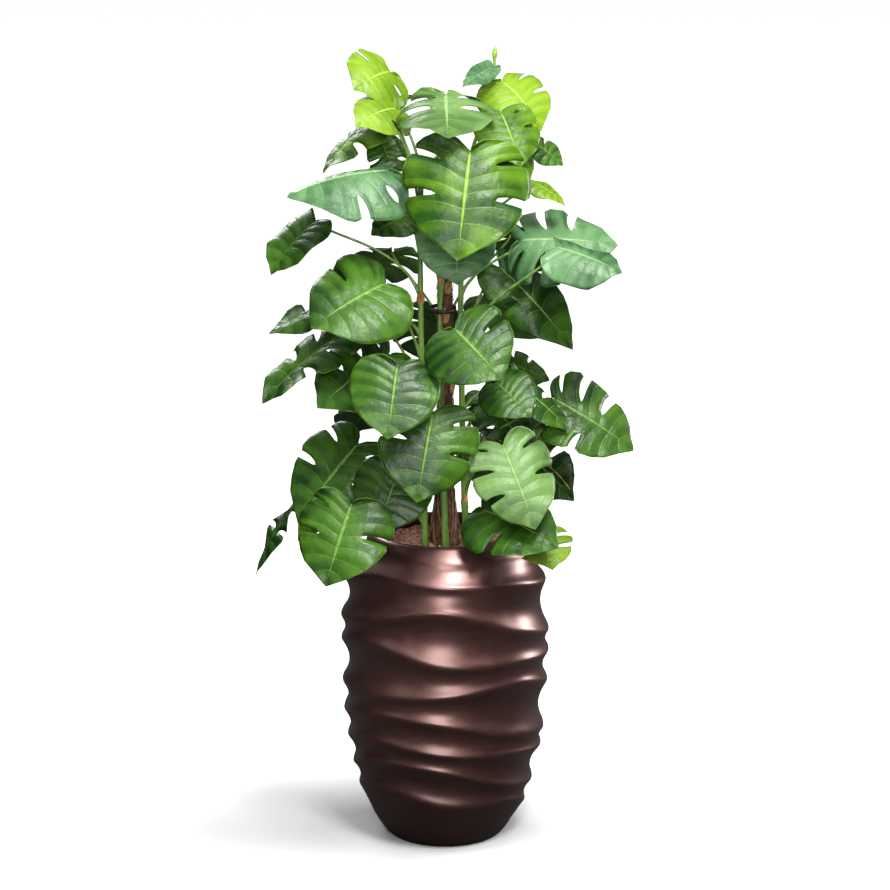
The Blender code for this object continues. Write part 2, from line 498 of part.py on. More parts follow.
def build():
    for obj in list(bpy.data.objects):
        bpy.data.objects.remove(obj, do_unlink=True)
    plant, cutters = collection("potted_monstera"), collection("cutters")
    lathe_rows("planter", planter_rows(), plant, material("planter_lacquer", (0.05, 0.022, 0.022), 0.3, 0.6))

    below = [(z, r - GAP) for z, r in INNER if z < SOIL_TOP]
    fill = [(0.012 + GAP, 0.094)] + below[1:] + [(SOIL_TOP, along(INNER, SOIL_TOP) - GAP)]
    soil = lathe_rows("soil", round_rows(fill, AROUND), plant, material("soil_earth", (0.05, 0.03, 0.02), 0.95))
    shaft = lathe_rows("pole_socket", round_rows(((0.4995, 0.0175), (0.61, 0.0315)), 16), cutters, None)
    boolean(soil, shaft, "DIFFERENCE")
    settle(soil, 0.00002)

    bed = ((SOIL_TOP + GAP, along(INNER, SOIL_TOP) - 0.0016), (GRAVEL_TOP, along(INNER, GRAVEL_TOP) - 0.0016))
    gravel = lathe_rows("gravel", round_rows(bed, AROUND), plant, material("gravel_red", (0.20, 0.08, 0.05), 0.9))
    holes = [lathe_rows("pole_hole", round_rows(((0.59, 0.0332), (0.64, 0.0332)), 16), cutters, None)]
    for name in STEMS:
        at = Vector(STEMS[name][0])
        ends = [Vector((at.x, at.y, 0.59)), Vector((at.x, at.y, 0.64))]
        holes.append(tube(name + "_hole", ends, (0.0094, 0.0094), cutters, None, 10))
    for hole in holes:
        boolean(gravel, hole, "DIFFERENCE")
    settle(gravel, 0.00002)

    lathe_rows("coir_pole", round_rows(POLE, 16), plant, material("coir_fibre", (0.16, 0.09, 0.05), 0.95))
    ring = [Vector((-0.004 + 0.026 * math.cos(a), -0.017 + 0.041 * math.sin(a), 1.112))
            for a in (2 * math.pi * k / 20 for k in range(20))]
    points = [p + Vector((math.cos(2 * math.pi * k / 20) * d, math.sin(2 * math.pi * k / 20) * d, h))
              for k, p in enumerate(ring) for d, h in ((0, 0), (0.001, 0), (0.001, 0.008), (0, 0.008))]
    faces = [(4 * k + j, 4 * ((k + 1) % 20) + j, 4 * ((k + 1) % 20) + (j + 1) % 4, 4 * k + (j + 1) % 4)
             for k in range(20) for j in range(4)]
    settle(mesh_object("pole_tie", points, faces, plant, material("tie_black", (0.01, 0.01, 0.01), 0.5)))

    bark = material("stem_skin", (0.12, 0.22, 0.05), 0.45)
    wide = []
    for name, path in STEMS.items():
        radii = [STEM_RADIUS - 0.0007 * i for i in range(len(path))]
        trunk = tube(name, [Vector(p) for p in path], radii, plant, bark, 8)
        wide.append(tube(name + "_wide", [Vector(p) for p in path], [r + BLADE_CLEARANCE for r in radii],
                         cutters, None, 8))
        arms = [(leaf[0], stalk_path(leaf, 5), PETIOLE) for leaf in LEAVES if leaf[10] == name]
        if name == NEW_LEAF[0]:
            arms.append(("new_leaf_sheath", sheath_path(4), 0.0030))
        arms += [("root_%d" % i, root_path(root, 4), 0.0016) for i, root in enumerate(ROOTS) if root[0] == name]
        for label, line, radius in arms:
            thick = [radius * 1.25] + [radius] * (len(line) - 1)
            boolean(trunk, tube(label + "_arm", line, thick, cutters, None, 5), "UNION")
            wide.append(tube(label + "_wide", line, [r + BLADE_CLEARANCE for r in thick], cutters, None, 6))
        settle(trunk, 0.00002)
        keep_largest(trunk)

    tube("new_leaf", new_leaf_path(7), NEW_LEAF[4], plant, material("rolled_leaf", TONES["young"], 0.4), 8)

    stalks = [(surface(obj), obj) for obj in wide]
    kept = []
    for leaf in LEAVES:
        blade = leaf_blade(leaf, plant, material("blade_" + leaf[0], TONES[leaf[12]], 0.35))
        fat = blade.copy()
        fat.data = blade.data.copy()
        fat.name = leaf[0] + "_wide"
        cutters.objects.link(fat)
        fat.modifiers["Thickness"].thickness = BLADE + 2 * BLADE_CLEARANCE
        settle(blade)
        settle(fat)
        for tree, other in kept + stalks:
            trim(blade, tree, other)
        kept.append((surface(fat), fat))

    for obj in cutters.objects:
        obj.hide_render = True
        obj.display_type = "WIRE"


build()
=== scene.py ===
"""Looks of the potted monstera: veined leaves, stalks, coir pole, gravel and the lacquered planter.

Metres, Z up, in the CAD's frame. The front of the plant faces -Y.
"""
import math
import random
from collections import namedtuple

import bmesh
import bpy
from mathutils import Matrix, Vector, noise


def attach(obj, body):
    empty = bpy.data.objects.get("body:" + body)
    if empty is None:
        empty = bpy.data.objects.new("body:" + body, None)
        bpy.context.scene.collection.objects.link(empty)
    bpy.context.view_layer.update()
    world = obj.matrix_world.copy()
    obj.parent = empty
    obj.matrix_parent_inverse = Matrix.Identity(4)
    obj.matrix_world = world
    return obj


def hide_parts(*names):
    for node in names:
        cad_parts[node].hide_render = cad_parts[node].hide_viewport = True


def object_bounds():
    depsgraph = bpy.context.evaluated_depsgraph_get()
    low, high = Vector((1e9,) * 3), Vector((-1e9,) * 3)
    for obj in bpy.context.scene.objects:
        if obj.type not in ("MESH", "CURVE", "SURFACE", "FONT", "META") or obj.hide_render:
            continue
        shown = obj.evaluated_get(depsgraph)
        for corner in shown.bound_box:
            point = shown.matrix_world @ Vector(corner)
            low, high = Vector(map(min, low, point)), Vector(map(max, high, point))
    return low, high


TURN = 2 * math.pi
# The camera's place, the degrees it looks down, and its focal length in millimetres.
CAMERA_AT, CAMERA_PITCH, CAMERA_LENS = (0.0, -4.9, 1.97), 13.1, 99.3
# Thickness of a blade and radius of its stalk.
BLADE = 0.0010
PETIOLE = 0.0027
# Mesh of one half blade: strips from the base to the tip, rows from the midrib to the margin, and side veins.
STRIPS, ROWS = 18, 12
VEINS = 9
# Mesh of the planter: steps round it and rows in each wave.
AROUND, PER_WAVE = 216, 16

# A cut of a half blade: its place from the base to the tip, where it starts between the midrib (0) and the
# margin (1), its half width and where it ends. One that ends at 1 is open, any other is a hole.
Cut = namedtuple("Cut", "place start half end")
# A blade: junction, tip, where the upper face looks, width to length, bend, fold and droop in degrees, the
# kinds of cut of its two halves, its stem, the height at which the stalk leaves it, and its tone.
Leaf = namedtuple("Leaf", "name base tip look width bend fold droop left right stem height tone")

# Smooth outer profile of the planter: height, radius.
BODY = ((0.0, 0.118), (0.006, 0.126), (0.0225, 0.143), (0.0475, 0.162), (0.08, 0.175), (0.102, 0.182),
        (0.154, 0.196), (0.20, 0.205), (0.26, 0.2135), (0.32, 0.217), (0.39, 0.2185), (0.477, 0.219),
        (0.553, 0.212), (0.60, 0.193), (0.63, 0.168), (0.648, 0.150))
# Smooth inner profile, from the floor of the hollow up to the rim.
INNER = ((0.012, 0.095), (0.05, 0.128), (0.10, 0.150), (0.20, 0.172), (0.32, 0.184), (0.45, 0.186),
         (0.54, 0.178), (0.60, 0.158), (0.635, 0.142), (0.650, 0.138))
# Crest heights of each wave at eight bearings, counted from the right through the back, left and front.
RIDGES = (
    (0.6150, 0.6200, 0.6260, 0.6300, 0.6360, 0.6400, 0.6260, 0.6270),
    (0.5490, 0.5600, 0.5720, 0.5630, 0.5550, 0.5890, 0.5820, 0.5730),
    (0.4420, 0.4620, 0.5000, 0.4880, 0.4730, 0.5020, 0.5310, 0.4780),
    (0.3970, 0.4050, 0.4200, 0.4320, 0.4210, 0.4530, 0.4210, 0.4140),
    (0.3310, 0.3450, 0.3400, 0.3250, 0.3330, 0.3440, 0.3570, 0.3680),
    (0.2310, 0.2500, 0.2750, 0.2900, 0.2690, 0.3030, 0.2960, 0.2560),
    (0.1910, 0.2050, 0.2150, 0.2280, 0.2110, 0.2450, 0.2300, 0.2150),
    (0.1160, 0.1300, 0.1600, 0.1750, 0.1510, 0.1980, 0.1910, 0.1410),
    (0.0660, 0.0850, 0.1000, 0.1180, 0.1040, 0.1410, 0.1130, 0.1050),
)
# A wave is this deep for each metre between its crests, up to the greatest depth.
WAVE_SHARE, WAVE_DEEPEST = 0.21, 0.019
# The last wave runs down to a crest at this height, and is this deep.
FOOT_CREST, FOOT_DEPTH = 0.012, 0.008
# The foot's edge below the waves, and the rounded lip above them: radius, height.
FOOT = ((0.118, 0.0), (0.122, 0.0012), (0.125, 0.004))
LIP = ((0.152, 0.6465), (0.149, 0.6495), (0.146, 0.651), (0.1435, 0.6518), (0.141, 0.652), (0.139, 0.6515),
       (0.138, 0.650))
GRAVEL_TOP = 0.624

# The climbing pole: height, radius.
POLE = ((0.500, 0.017), (0.625, 0.032), (0.66, 0.027), (0.72, 0.020), (0.90, 0.018), (1.15, 0.016),
        (1.38, 0.013), (1.41, 0.008))
# Points along each climbing stem, from the soil up.
STEMS = {
    "stem_left": ((-0.040, -0.034, 0.6005), (-0.044, -0.038, 0.80), (-0.048, -0.036, 1.05),
                  (-0.050, -0.026, 1.25), (-0.046, -0.012, 1.42)),
    "stem_front": ((0.002, -0.052, 0.6005), (-0.006, -0.046, 0.85), (-0.010, -0.042, 1.10),
                   (-0.008, -0.036, 1.30), (0.000, -0.030, 1.44)),
    "stem_right": ((0.044, -0.022, 0.6005), (0.036, -0.028, 0.85), (0.031, -0.028, 1.10),
                   (0.034, -0.020, 1.30), (0.046, -0.010, 1.42)),
    "stem_back": ((0.006, 0.052, 0.6005), (0.004, 0.040, 0.85), (0.000, 0.036, 1.10),
                  (-0.004, 0.034, 1.32)),
}
STEM_RADIUS = 0.0072
# Aerial roots: the stem, the height on it, a point that pulls the curve, and the end.
ROOTS = (("stem_right", 0.86, (0.185, -0.030, 0.845), (0.255, -0.035, 0.745)),
         ("stem_left", 0.72, (-0.100, -0.085, 0.690), (-0.125, -0.110, 0.668)))

# The rolled new leaf at the top: the stem that bears it, the height at which its sheath leaves the stem, its
# foot, its tip and its radii from foot to tip.
NEW_LEAF_STEM, SHEATH_FROM = "stem_right", 1.36
NEW_LEAF_FOOT, NEW_LEAF_TIP = Vector((0.097, 0.085, 1.541)), Vector((0.101, 0.085, 1.633))
NEW_LEAF_RADII = (0.0024, 0.0042, 0.0046, 0.0040, 0.0030, 0.0034, 0.0068, 0.0012)

# Dry sheaths: what bears each one, and its height.
HUSKS = (("stem_front", 1.215), ("stem_front", 1.165), ("stem_front", 1.045), ("stem_left", 1.125),
         ("stem_right", 1.185), ("stem_left", 0.80), ("stem_right", 0.70), ("stem_front", 0.90),
         ("pole", 1.172), ("pole", 1.146), ("pole", 1.085), ("pole", 1.008), ("pole", 1.195), ("pole", 0.94))

# Kinds of half blade, by their cuts.
CUTS = {
    "none": (),
    "hole": (Cut(0.46, 0.34, 0.030, 0.74),),
    "one": (Cut(0.56, 0.36, 0.026, 1.0),),
    "two": (Cut(0.40, 0.40, 0.024, 1.0), Cut(0.62, 0.42, 0.026, 1.0)),
    "three": (Cut(0.32, 0.42, 0.020, 1.0), Cut(0.50, 0.36, 0.026, 1.0), Cut(0.69, 0.40, 0.026, 1.0)),
    "deep": (Cut(0.36, 0.22, 0.044, 1.0), Cut(0.58, 0.24, 0.044, 1.0)),
    "deep_three": (Cut(0.30, 0.28, 0.030, 1.0), Cut(0.48, 0.24, 0.036, 1.0), Cut(0.67, 0.26, 0.036, 1.0)),
    "crown": (Cut(0.34, 0.18, 0.055, 1.0), Cut(0.56, 0.20, 0.070, 1.0)),
    "hole_one": (Cut(0.36, 0.36, 0.026, 0.76), Cut(0.58, 0.44, 0.030, 1.0)),
}
# Margin of the unit half blade, from the base to the tip: away from the midrib, along it.
HALF = ((0.020, -0.035), (0.125, -0.120), (0.275, -0.130), (0.42, -0.05), (0.51, 0.11), (0.53, 0.31),
        (0.48, 0.52), (0.36, 0.72), (0.18, 0.89), (0.0, 1.0))
# The veins of this first share of the half blade fan out from the junction.
FAN = 0.24

LEAVES = [Leaf(*row) for row in (
    ("front_upper", (0.048, -0.170, 1.450), (0.024, -0.240, 1.247), (0.0, -1.0, 0.35),
     1.16, 0.05, 8, 32, "two", "two", "stem_front", 1.22, "bright"),
    ("front_mid_heart", (-0.093, -0.220, 1.038), (-0.111, -0.280, 0.905), (0.0, -1.0, 0.35),
     1.18, 0.06, 6, 26, "none", "none", "stem_front", 0.84, "mid"),
    ("front_mid_right", (0.019, -0.200, 1.108), (0.110, -0.260, 1.019), (0.1, -1.0, 0.35),
     1.28, 0.06, 6, 26, "none", "one", "stem_front", 0.93, "mid"),
    ("front_low_centre", (-0.024, -0.200, 0.941), (-0.055, -0.260, 0.774), (0.0, -1.0, 0.3),
     1.10, 0.06, 8, 28, "one", "two", "stem_front", 0.76, "mid"),
    ("front_low_right", (0.114, -0.180, 0.870), (0.178, -0.250, 0.717), (0.1, -1.0, 0.35),
     0.92, 0.05, 8, 28, "three", "two", "stem_right", 0.72, "pale"),
    ("low_left_front", (-0.186, -0.190, 0.752), (-0.235, -0.250, 0.601), (-0.2, -1.0, 0.35),
     1.12, 0.05, 8, 26, "two", "one", "stem_left", 0.66, "mid"),
    ("low_left_glossy", (-0.092, -0.140, 0.811), (-0.135, -0.180, 0.694), (0.0, -1.0, 0.45),
     1.20, 0.05, 6, 24, "none", "none", "stem_left", 0.69, "dark"),
    ("low_right_broad", (0.078, -0.150, 0.731), (0.225, -0.220, 0.672), (0.1, -0.8, 0.8),
     0.98, 0.07, 4, 24, "one", "none", "stem_right", 0.65, "dark"),
    ("low_left_broad", (-0.176, -0.060, 0.846), (-0.297, -0.110, 0.692), (-0.3, -0.9, 0.45),
     0.92, 0.06, 8, 30, "two", "hole_one", "stem_left", 0.75, "dark"),
    ("left_mid_broad", (-0.120, -0.120, 1.183), (-0.261, -0.190, 1.106), (-0.2, -0.8, 0.6),
     1.20, 0.06, 10, 30, "one", "none", "stem_left", 1.00, "mid"),
    ("left_upper_broad", (-0.114, -0.090, 1.404), (-0.308, -0.130, 1.356), (-0.1, -0.4, 0.9),
     1.02, 0.07, -14, 52, "none", "hole_one", "stem_left", 1.27, "blue"),
    ("crown_centre", (0.002, -0.060, 1.549), (0.005, -0.220, 1.480), (0.0, -0.5, 0.85),
     1.18, 0.05, 2, 38, "crown", "crown", "stem_front", 1.38, "pale"),
    ("right_fingered", (0.154, -0.030, 1.257), (0.345, -0.040, 1.248), (0.1, -0.75, 0.65),
     0.98, 0.06, -6, 40, "deep_three", "deep_three", "stem_right", 1.14, "blue"),
    ("front_upper_under", (0.020, -0.110, 1.300), (0.025, -0.170, 1.189), (0.0, -1.0, 0.25),
     1.20, 0.04, 6, 22, "none", "none", "stem_front", 1.12, "blue"),
    ("crown_left", (-0.110, 0.050, 1.584), (-0.181, -0.030, 1.555), (-0.25, -1.0, 0.2),
     1.34, 0.14, 4, 32, "one", "hole", "stem_left", 1.38, "young"),
    ("crown_left_lower", (-0.097, -0.020, 1.518), (-0.176, -0.090, 1.490), (-0.3, -0.9, 0.35),
     1.10, 0.12, 6, 34, "none", "one", "stem_left", 1.34, "young"),
    ("crown_right_broad", (0.116, 0.050, 1.564), (0.191, 0.000, 1.471), (0.35, -0.85, 0.5),
     1.12, 0.12, 6, 34, "none", "two", "stem_right", 1.38, "young"),
    ("right_upper_drape", (0.111, -0.030, 1.510), (0.149, -0.100, 1.411), (0.2, -1.0, 0.3),
     1.02, 0.06, 8, 30, "none", "hole_one", "stem_right", 1.32, "bright"),
    ("right_upper_under", (0.111, 0.050, 1.456), (0.159, 0.020, 1.351), (0.2, -0.9, 0.4),
     0.90, 0.06, 8, 26, "none", "one", "stem_right", 1.26, "bright"),
    ("right_lower_blue", (0.218, -0.150, 1.261), (0.343, -0.190, 1.216), (0.1, -0.55, 0.8),
     1.00, 0.05, -10, 44, "none", "none", "stem_right", 1.02, "blue"),
    ("right_mid_long", (0.111, 0.030, 1.193), (0.259, -0.010, 1.030), (0.3, -0.8, 0.5),
     0.58, 0.06, 8, 32, "one", "none", "stem_right", 1.02, "mid"),
    ("right_low_heart", (0.104, -0.090, 0.978), (0.171, -0.140, 0.919), (0.2, -1.0, 0.4),
     1.10, 0.05, 8, 24, "none", "none", "stem_right", 0.84, "dark"),
    ("right_far", (0.224, -0.010, 0.928), (0.384, -0.040, 0.827), (0.2, -0.8, 0.6),
     0.90, 0.05, 8, 28, "two", "deep_three", "stem_right", 0.78, "mid"),
    ("right_low_light", (0.122, -0.020, 0.978), (0.250, -0.070, 0.877), (0.35, -0.5, 0.75),
     0.62, 0.05, 6, 30, "deep_three", "deep_three", "stem_right", 0.90, "bright"),
    ("left_low_dark", (-0.114, -0.060, 1.031), (-0.254, -0.130, 0.935), (-0.2, -0.8, 0.6),
     1.08, 0.05, 8, 30, "deep_three", "one", "stem_left", 0.84, "dark"),
    ("left_low_fingered", (-0.201, -0.030, 1.072), (-0.367, -0.080, 0.933), (-0.3, -0.5, 0.8),
     0.62, 0.05, 20, 28, "deep_three", "deep_three", "stem_left", 0.94, "mid"),
    ("left_hanging", (-0.259, -0.030, 1.295), (-0.346, -0.070, 1.193), (-0.5, -0.6, 0.5),
     0.86, 0.06, 24, 30, "none", "none", "stem_left", 1.14, "dark"),
    ("left_mid_edge", (-0.225, 0.020, 1.115), (-0.357, 0.000, 1.061), (-0.4, -0.4, 0.85),
     0.62, 0.05, 10, 28, "deep", "none", "stem_left", 1.06, "dark"),
    ("left_mid_dark", (-0.132, 0.03, 1.082), (-0.213, 0.03, 1.035), (-0.3, -0.7, 0.6),
     0.95, 0.05, 8, 22, "none", "one", "stem_left", 0.92, "dark"),
    ("upper_left_fan", (-0.122, 0.030, 1.504), (-0.244, 0.000, 1.387), (-0.75, -0.45, 0.5),
     0.74, 0.06, 8, 34, "deep_three", "deep_three", "stem_left", 1.30, "bright"),
    ("left_mid_under", (-0.066, 0.000, 1.307), (-0.148, -0.030, 1.267), (-0.1, -0.7, 0.75),
     0.95, 0.05, 8, 24, "none", "none", "stem_left", 1.10, "mid"),
    ("upper_left_teal", (-0.104, 0.020, 1.393), (-0.137, 0.060, 1.465), (0.1, -1.0, 0.3),
     0.95, 0.05, 8, 26, "hole", "one", "stem_left", 1.22, "dark"),
    ("crown_back", (-0.030, 0.08, 1.530), (-0.108, 0.16, 1.520), (-0.2, 0.3, 1.0),
     0.90, 0.06, 6, 26, "one", "two", "stem_back", 1.30, "dark"),
    ("crown_right_narrow", (0.094, 0.03, 1.595), (0.034, -0.02, 1.560), (0.2, -0.5, 0.8),
     0.55, 0.05, 12, 24, "none", "none", "stem_right", 1.33, "blue"),
    ("right_back_small", (0.171, 0.05, 1.448), (0.238, 0.05, 1.396), (0.3, -0.7, 0.6),
     0.72, 0.05, 8, 22, "none", "one", "stem_right", 1.28, "mid"),
    ("right_pale", (0.168, -0.040, 1.376), (0.238, -0.050, 1.328), (0.3, -0.4, 0.95),
     0.60, 0.08, 6, 36, "none", "none", "stem_right", 1.22, "young"),
    ("right_mid_back", (0.080, 0.08, 1.127), (0.210, 0.10, 1.035), (0.2, 0.8, 0.5),
     0.90, 0.05, 8, 22, "one", "one", "stem_back", 0.98, "pale"),
    ("right_mid_fingers", (0.108, 0.08, 0.990), (0.216, 0.07, 0.950), (0.2, -0.6, 0.8),
     0.90, 0.05, 8, 26, "three", "three", "stem_back", 0.93, "mid"),
    ("right_low_dark", (0.082, 0.02, 0.935), (0.172, 0.00, 0.810), (0.3, -0.9, 0.4),
     0.80, 0.05, 8, 24, "two", "two", "stem_right", 0.80, "dark"),
    ("low_right_back", (0.115, 0.07, 0.845), (0.268, 0.04, 0.700), (0.3, -0.8, 0.5),
     0.72, 0.05, 8, 24, "two", "three", "stem_right", 0.74, "mid"),
    ("low_right_young", (0.189, -0.085, 0.672), (0.216, -0.165, 0.611), (0.2, -1.0, 0.4),
     1.20, 0.05, 6, 24, "deep_three", "deep_three", "stem_right", 0.66, "young"),
    ("low_left_young", (-0.233, -0.05, 0.730), (-0.300, -0.07, 0.645), (-0.5, -0.6, 0.6),
     0.62, 0.05, 8, 22, "one", "none", "stem_left", 0.68, "young"),
    ("low_left_thin", (-0.315, -0.02, 0.698), (-0.389, -0.04, 0.566), (-0.9, -0.2, 0.4),
     0.50, 0.05, 12, 22, "one", "one", "stem_left", 0.70, "dark"),
    ("low_back_pale", (0.052, 0.12, 0.800), (0.060, 0.21, 0.700), (0.1, 0.8, 0.6),
     0.90, 0.05, 8, 22, "one", "one", "stem_back", 0.70, "pale"),
    ("back_top", (0.030, 0.13, 1.400), (0.060, 0.24, 1.270), (0.1, 1.0, 0.6),
     0.98, 0.06, 8, 28, "two", "three", "stem_back", 1.20, "mid"),
    ("back_left", (-0.110, 0.12, 1.210), (-0.220, 0.20, 1.100), (-0.5, 0.8, 0.5),
     0.98, 0.06, 8, 28, "three", "two", "stem_back", 1.04, "mid"),
    ("back_right", (0.140, 0.14, 1.250), (0.250, 0.21, 1.150), (0.5, 0.8, 0.5),
     0.98, 0.06, 8, 28, "two", "two", "stem_back", 1.06, "bright"),
    ("back_mid", (-0.010, 0.15, 1.080), (-0.030, 0.26, 0.940), (0.0, 1.0, 0.5),
     1.05, 0.06, 8, 28, "three", "three", "stem_back", 0.90, "mid"),
    ("back_low_left", (-0.110, 0.14, 0.920), (-0.210, 0.24, 0.790), (-0.5, 0.8, 0.5),
     0.95, 0.06, 8, 26, "two", "three", "stem_back", 0.76, "dark"),
    ("back_low_right", (0.110, 0.15, 0.900), (0.200, 0.24, 0.770), (0.5, 0.8, 0.5),
     0.95, 0.06, 8, 26, "three", "two", "stem_back", 0.73, "mid"),
)]


def polar(radius, angle, z):
    """A point at a distance and an angle from the axis, at a height."""
    return Vector((radius * math.cos(angle), radius * math.sin(angle), z))


def along(table, x):
    """Linear reading of a table of (x, value)."""
    for (x0, y0), (x1, y1) in zip(table, table[1:]):
        if x <= x1:
            return y0 + (y1 - y0) * max(0.0, (x - x0) / (x1 - x0))
    return table[-1][1]


def blend(four, f):
    """Catmull-Rom blend of four numbers or points, from the second at 0 to the third at 1."""
    a, b, c, d = four
    return 0.5 * (2 * b + (c - a) * f + (2 * a - 5 * b + 4 * c - d) * f * f
                  + (3 * b - a - 3 * c + d) * f ** 3)


def spline(points, x):
    """Smooth reading of evenly spaced points, x from 0 to 1."""
    last = len(points) - 1
    i = min(int(x * last), last - 1)
    return blend([Vector(points[max(0, min(last, i + k))]) for k in (-1, 0, 1, 2)], x * last - i)


def crest(ridge, angle):
    """Height of a wave's crest at an angle, by smooth blending of its stated heights."""
    turn = (angle / (math.pi / 4)) % 8
    i = int(turn)
    return blend([ridge[(i + k) % 8] for k in (-1, 0, 1, 2)], turn - i)


def outside(i, phase, angle):
    """Radius and height of the planter's outside, from one wave's crest at 0 to the next crest below at 1."""
    top = crest(RIDGES[i], angle)
    lowest = i + 1 == len(RIDGES)
    low = FOOT_CREST if lowest else crest(RIDGES[i + 1], angle)
    z = top + (low - top) * phase
    deep = FOOT_DEPTH if lowest else min(WAVE_DEEPEST, WAVE_SHARE * (top - low))
    return along(BODY, z) - deep * math.sin(math.pi * phase) ** 0.85, z


def stem_point(name, z):
    """The middle of a stem at a height."""
    path = STEMS[name]
    for low, high in zip(path, path[1:]):
        if z <= high[2]:
            return Vector(low).lerp(Vector(high), max(0.0, (z - low[2]) / (high[2] - low[2])))
    return Vector(path[-1])


def leaf_frame(leaf):
    """A blade's junction, its length, and its directions ahead, to the side and out of the upper face."""
    base, tip, look = Vector(leaf.base), Vector(leaf.tip), Vector(leaf.look)
    ahead = (tip - base).normalized()
    face = (look - look.dot(ahead) * ahead).normalized()
    return base, (tip - base).length, ahead, face.cross(ahead), face


def stalk_path(leaf, steps):
    """A leaf's stalk: it rises from the stem, arches over and meets the blade from below."""
    base, _, ahead, _, face = leaf_frame(leaf)
    start = stem_point(leaf.stem, leaf.height)
    end = base - face * 0.0042
    reach = (end - start).length
    out = Vector((end.x - start.x, end.y - start.y, 0.0))
    first = start + Vector((0.0, 0.0, 0.42 * reach)) + 0.16 * out
    second = end - 0.26 * reach * (face * 0.8 + ahead * 0.25 + Vector((0.0, 0.0, 0.25))).normalized()
    path = []
    for i in range(steps + 1):
        f = i / steps
        g = 1 - f
        path.append(g ** 3 * start + 3 * f * g ** 2 * first + 3 * f * f * g * second + f ** 3 * end)
    return path


def arc_path(start, middle, end, steps):
    """A curve from start to end, pulled towards the middle point."""
    path = []
    for i in range(steps + 1):
        f = i / steps
        path.append((1 - f) ** 2 * start + 2 * f * (1 - f) * middle + f * f * end)
    return path


def sheath_path(steps):
    """The sheath that carries the new leaf, ending just under it."""
    start, foot = stem_point(NEW_LEAF_STEM, SHEATH_FROM), NEW_LEAF_FOOT - Vector((0.0, 0.0, 0.0006))
    middle = Vector((foot.x, foot.y, start.z + 0.35 * (foot.z - start.z)))
    return arc_path(start, middle, foot, steps)


def root_path(root, steps):
    """An aerial root, from its stem to its end."""
    stem, height, middle, end = root
    return arc_path(stem_point(stem, height), Vector(middle), Vector(end), steps)


def half_lines(cuts):
    """Positions of the lines across one half blade: one on every cut and one close to each side of it."""
    lines = [0.0, 0.05, 0.13, 0.955, 1.0]
    for cut in cuts:
        lines += [cut.place, cut.place - 0.9 * cut.half - 0.026, cut.place + 0.9 * cut.half + 0.026]
    lines = sorted(lines)
    while len(lines) - 1 < STRIPS:
        i = max(range(len(lines) - 1), key=lambda k: lines[k + 1] - lines[k])
        lines.insert(i + 1, (lines[i] + lines[i + 1]) / 2)
    return lines


def blade_flat(s, t):
    """A point of the unit half blade: s from the base to the tip, t from the midrib to the margin."""
    rib = 0.035 * s / FAN if s < FAN else 0.035 + (s - FAN) / (1 - FAN) * 0.895
    edge = spline([(x, y, 0.0) for x, y in HALF], s)
    if s > 0.84:
        edge.x *= 1 - 0.30 * math.sin(math.pi * (s - 0.84) / 0.16) ** 2
    start = Vector((0.0, rib, 0.0))
    bow = 0.085 * math.sin(math.pi * s) * min(1.0, (s / 0.32) ** 2)
    middle = start.lerp(edge, 0.55) - Vector((0.0, bow, 0.0))
    return (1 - t) ** 2 * start + 2 * t * (1 - t) * middle + t * t * edge


def blade_solid(leaf, x, y):
    """Lays a flat blade point on the leaf's folded, drooping and bent surface."""
    base, length, ahead, side, face = leaf_frame(leaf)
    fold, droop = math.radians(leaf.fold), math.radians(leaf.droop)
    a = abs(x) * leaf.width
    k = -(fold + droop) / (0.5 * leaf.width)
    across = (math.sin(fold + k * a) - math.sin(fold)) / k
    lift = (math.cos(fold) - math.cos(fold + k * a)) / k
    rise = 4 * leaf.bend * y * (1 - y) if y > 0 else 2.5 * leaf.bend * y
    return base + length * (ahead * y + side * math.copysign(across, x) + face * (lift + rise))


def relief(s, t, seed, length):
    """Quilting between the side veins, and a slow wave along the margin, in metres along the face."""
    wave = math.cos(TURN * VEINS * s)
    quilt = -0.0009 * (1 + wave) * math.sin(math.pi * min(1.0, t * 1.08)) ** 0.7
    edge = 0.012 * t ** 3 * math.sin(8.0 * s + seed) + 0.006 * t ** 2 * math.sin(19.0 * s + 1.7 * seed)
    return (quilt + edge * min(1.0, 4 * (1 - s))) * length / 0.2


def opening(cut, t):
    """Half the width of a cut, t of the way from the midrib to the margin."""
    hole = cut.end < 1.0
    if t <= cut.start or (hole and t >= cut.end):
        return 0.0
    x = (t - cut.start) / (cut.end - cut.start)
    return cut.half * (math.sin(math.pi * x) ** 0.6 if hole else math.sqrt(x) * (1.3 - 0.55 * x))


def row_heights(cuts, s):
    """Where the rows cross a line, with rows on the start and the end of each cut."""
    start = along(((0.0, 0.45),) + tuple((c.place, c.start) for c in cuts) + ((1.0, 0.5),), s)
    end = 0.75 if s == 1.0 else next((c.end for c in cuts if c.end < 1.0), 0.75)
    low, mid = ROWS // 3, 3 * ROWS // 4
    rows = [start * (j / low) ** 0.9 for j in range(low)]
    rows += [start + (end - start) * (j - low) / (mid - low) for j in range(low, mid)]
    rows += [end + (1 - end) * (j - mid) / (ROWS - mid) for j in range(mid, ROWS + 1)]
    return rows


def rounded(cuts, s):
    """Pulls the margin in beside an open cut, so that a finger's end is round."""
    pull = 0.0
    for cut in cuts:
        if cut.end >= 1.0:
            beside = abs(s - cut.place) < cut.half + 0.05
            pull = max(pull, 0.085 if s == cut.place else 0.016 * beside)
    return 1.0 - pull


